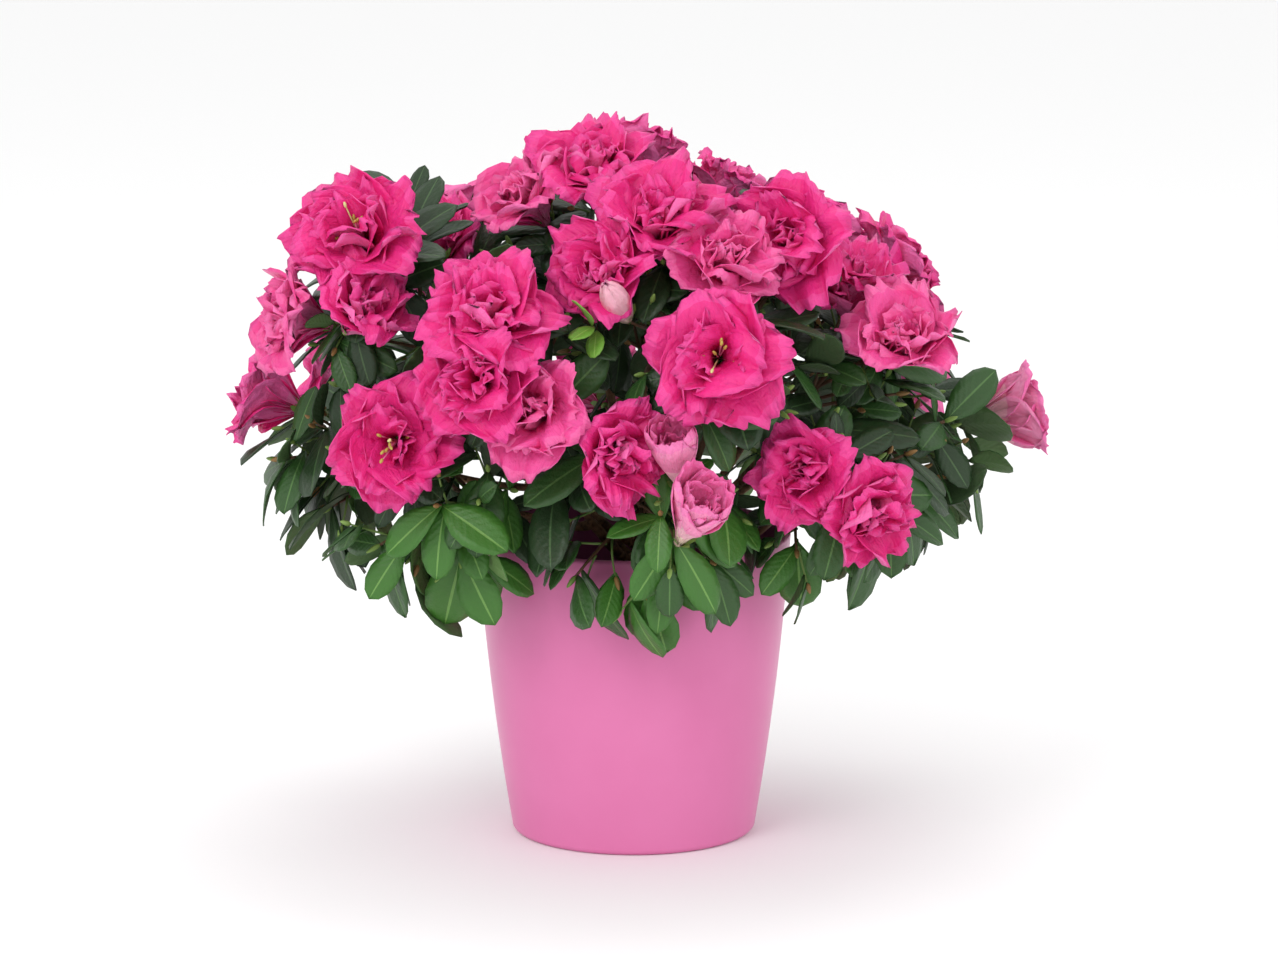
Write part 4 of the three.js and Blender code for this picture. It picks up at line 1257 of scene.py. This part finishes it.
def profileMesh(profile, steps):
    body = bmesh.new()
    verts = [body.verts.new((x, 0, z)) for x, z in profile]
    edges = [body.edges.new(pair) for pair in zip(verts, verts[1:])]
    bmesh.ops.spin(body, geom=verts + edges, cent=(0, 0, 0), axis=(0, 0, 1), dvec=(0, 0, 0),
                   angle=2 * pi, steps=steps, use_merge=True, use_normal_flip=False,
                   use_duplicate=False)
    bmesh.ops.remove_doubles(body, verts=body.verts, dist=1e-5)
    bmesh.ops.recalc_face_normals(body, faces=body.faces)
    return body


def roundCorner(x, z, radius, start, end, steps):
    angles = [radians(lerp(start, end, i / steps)) for i in range(steps + 1)]
    return [(x + radius * cos(a), z + radius * sin(a)) for a in angles]


def potSide(start, end, inset):
    heights = [lerp(start, end, i / potLook["wallSteps"]) for i in range(1, potLook["wallSteps"])]
    return [(potRadiusAt(z) - inset, z) for z in heights]


def potProfile():
    steps, footRound, lipRound, wall = potLook["roundSteps"], pot["footRound"], pot["lipRound"], pot["wall"]
    lipHeight = pot["height"] - lipRound
    innerRound = pot["floor"] + footRound
    profile = [(0, 0)]
    profile += roundCorner(potRadiusAt(footRound) - footRound, footRound, footRound, -90, 0, steps)
    profile += potSide(footRound, lipHeight, 0)
    profile += roundCorner(pot["rimRadius"] - lipRound, lipHeight, lipRound, 0, 180, 2 * steps)
    profile += potSide(lipHeight, innerRound, wall)
    innerFoot = potRadiusAt(innerRound) - wall - footRound
    profile += roundCorner(innerFoot, innerRound, footRound, 0, -90, steps)
    return profile + [(0, pot["floor"])]


# the faces of the inner wall, which take the painted shade
def shadedInsidePot(face):
    x, y, z = face.calc_center_median()
    return z > pot["floor"] and hypot(x, y) < potRadiusAt(z) - pot["wall"] / 2


def makePot():
    body = profileMesh(potProfile(), potLook["steps"])
    slots = [int(shadedInsidePot(face)) for face in body.faces]
    joined = Joined("pot")
    joined.add(*takenApart(body), slots)
    materials = [grainedMaterial(name, colours[0], potLook, colours) for name, colours
                 in (("pinkGlaze", potLook["glaze"]), ("innerShadedGlaze", potLook["inside"]))]
    joined.piece("glazed_pot", materials, "pot")


makePot()


# crumbly peat round the foot of the trunk
peat = {
    "steps": 72, "rings": 18, "clear": 0.8, "cornerCut": 1, "flatRadius": 12, "crumbleRadius": 27,
    "crumbleShare": 0.25, "relief": (0.9, 0.001), "humps": 1.3, "humpScales": (0.22, 0.6), "finerHumps": 0.6,
    "crumbs": 420, "crumbSize": (0.5, 1.7), "crumbFrom": 0.03, "crumbsInside": 2.5, "crumbLift": 0.3,
    "lumps": 0.35, "lumpWays": np.array((3.1, 2.3, 4.2)), "lumpScale": 1.4, "lumpStart": (0, 6.3),
    "crumbBall": (6, 5),
    "footClear": 6, "edgeFade": 4, "crumbUp": 1.2, "crumbWide": (0.6, 1), "crumbTall": (0.5, 0.9),
    "skin": {"Roughness": 0.95}, "patches": {"Scale": 420, "Detail": 6, "Roughness": 0.7},
    "grain": {"Scale": 420, "Detail": 6, "Roughness": 0.7},
    "stops": (0.36, 0.7), "colours": ("120c08", "3a281b"),
}


def peatRadiusAt(z):
    return potRadiusAt(z) - pot["wall"] - peat["clear"]


peatEdge = soil["top"] - soil["crumble"]
peatRadius = peatRadiusAt(peatEdge)


def peatHeightAt(radius):
    shoulder = soil["top"] - soil["crumble"] * peat["crumbleShare"]
    return np.interp(radius, (peat["flatRadius"], peat["crumbleRadius"], peatRadius),
                     (soil["top"], shoulder, peatEdge))


def peatBody():
    foot = pot["floor"] + soil["restClear"]
    corner = pot["footRound"] + peat["cornerCut"]
    profile = [(0, foot), (peatRadiusAt(foot) - corner, foot), (peatRadiusAt(foot + corner), foot + corner),
               (peatRadius, peatEdge)]
    for i in range(1, peat["rings"] + 1):
        radius = peatRadius * (1 - i / peat["rings"])
        profile.append((radius, float(peatHeightAt(radius))))
    body = profileMesh(profile, peat["steps"])
    coarse, finer = peat["humpScales"]
    for vert in body.verts:
        radius = hypot(vert.co.x, vert.co.y)
        if vert.co.z > peatEdge - 1:
            clear = peat["footClear"]
            near = min(1, (peatRadius - radius) / peat["edgeFade"], max(0, (radius - clear) / clear))
            hump = noise.noise(vert.co * coarse) + peat["finerHumps"] * noise.noise(vert.co * finer)
            vert.co.z += peat["humps"] * near * hump
    return takenApart(body)


def crumbPoints(ball, roll):
    radius = sqrt(roll(peat["crumbFrom"], 1)) * (peatRadius - peat["crumbsInside"])
    turn = roll(0, 2 * pi)
    at = np.array((radius * cos(turn), radius * sin(turn), peatHeightAt(radius) + peat["crumbLift"]))
    size = roll(*peat["crumbSize"])
    waves = ball @ peat["lumpWays"] * peat["lumpScale"] + roll(*peat["lumpStart"])
    lumps = 1 + peat["lumps"] * np.sin(waves)
    shape = ball * lumps[:, None] * (size, size * roll(*peat["crumbWide"]), size * roll(*peat["crumbTall"]))
    return turnedTo(shape, unit(np.array((roll(-1, 1), roll(-1, 1), peat["crumbUp"]))), at)


def makePeat():
    joined = Joined("soil")
    joined.add(*peatBody())
    ball, ballFaces = ballOf(*peat["crumbBall"])
    roll = dice(seeds["peat"])
    for _ in range(peat["crumbs"]):
        joined.add(crumbPoints(ball, roll), ballFaces)
    joined.piece("peat", [grainedMaterial("darkPeat", peat["colours"][-1], peat, peat["colours"])], "soil")


makePeat()
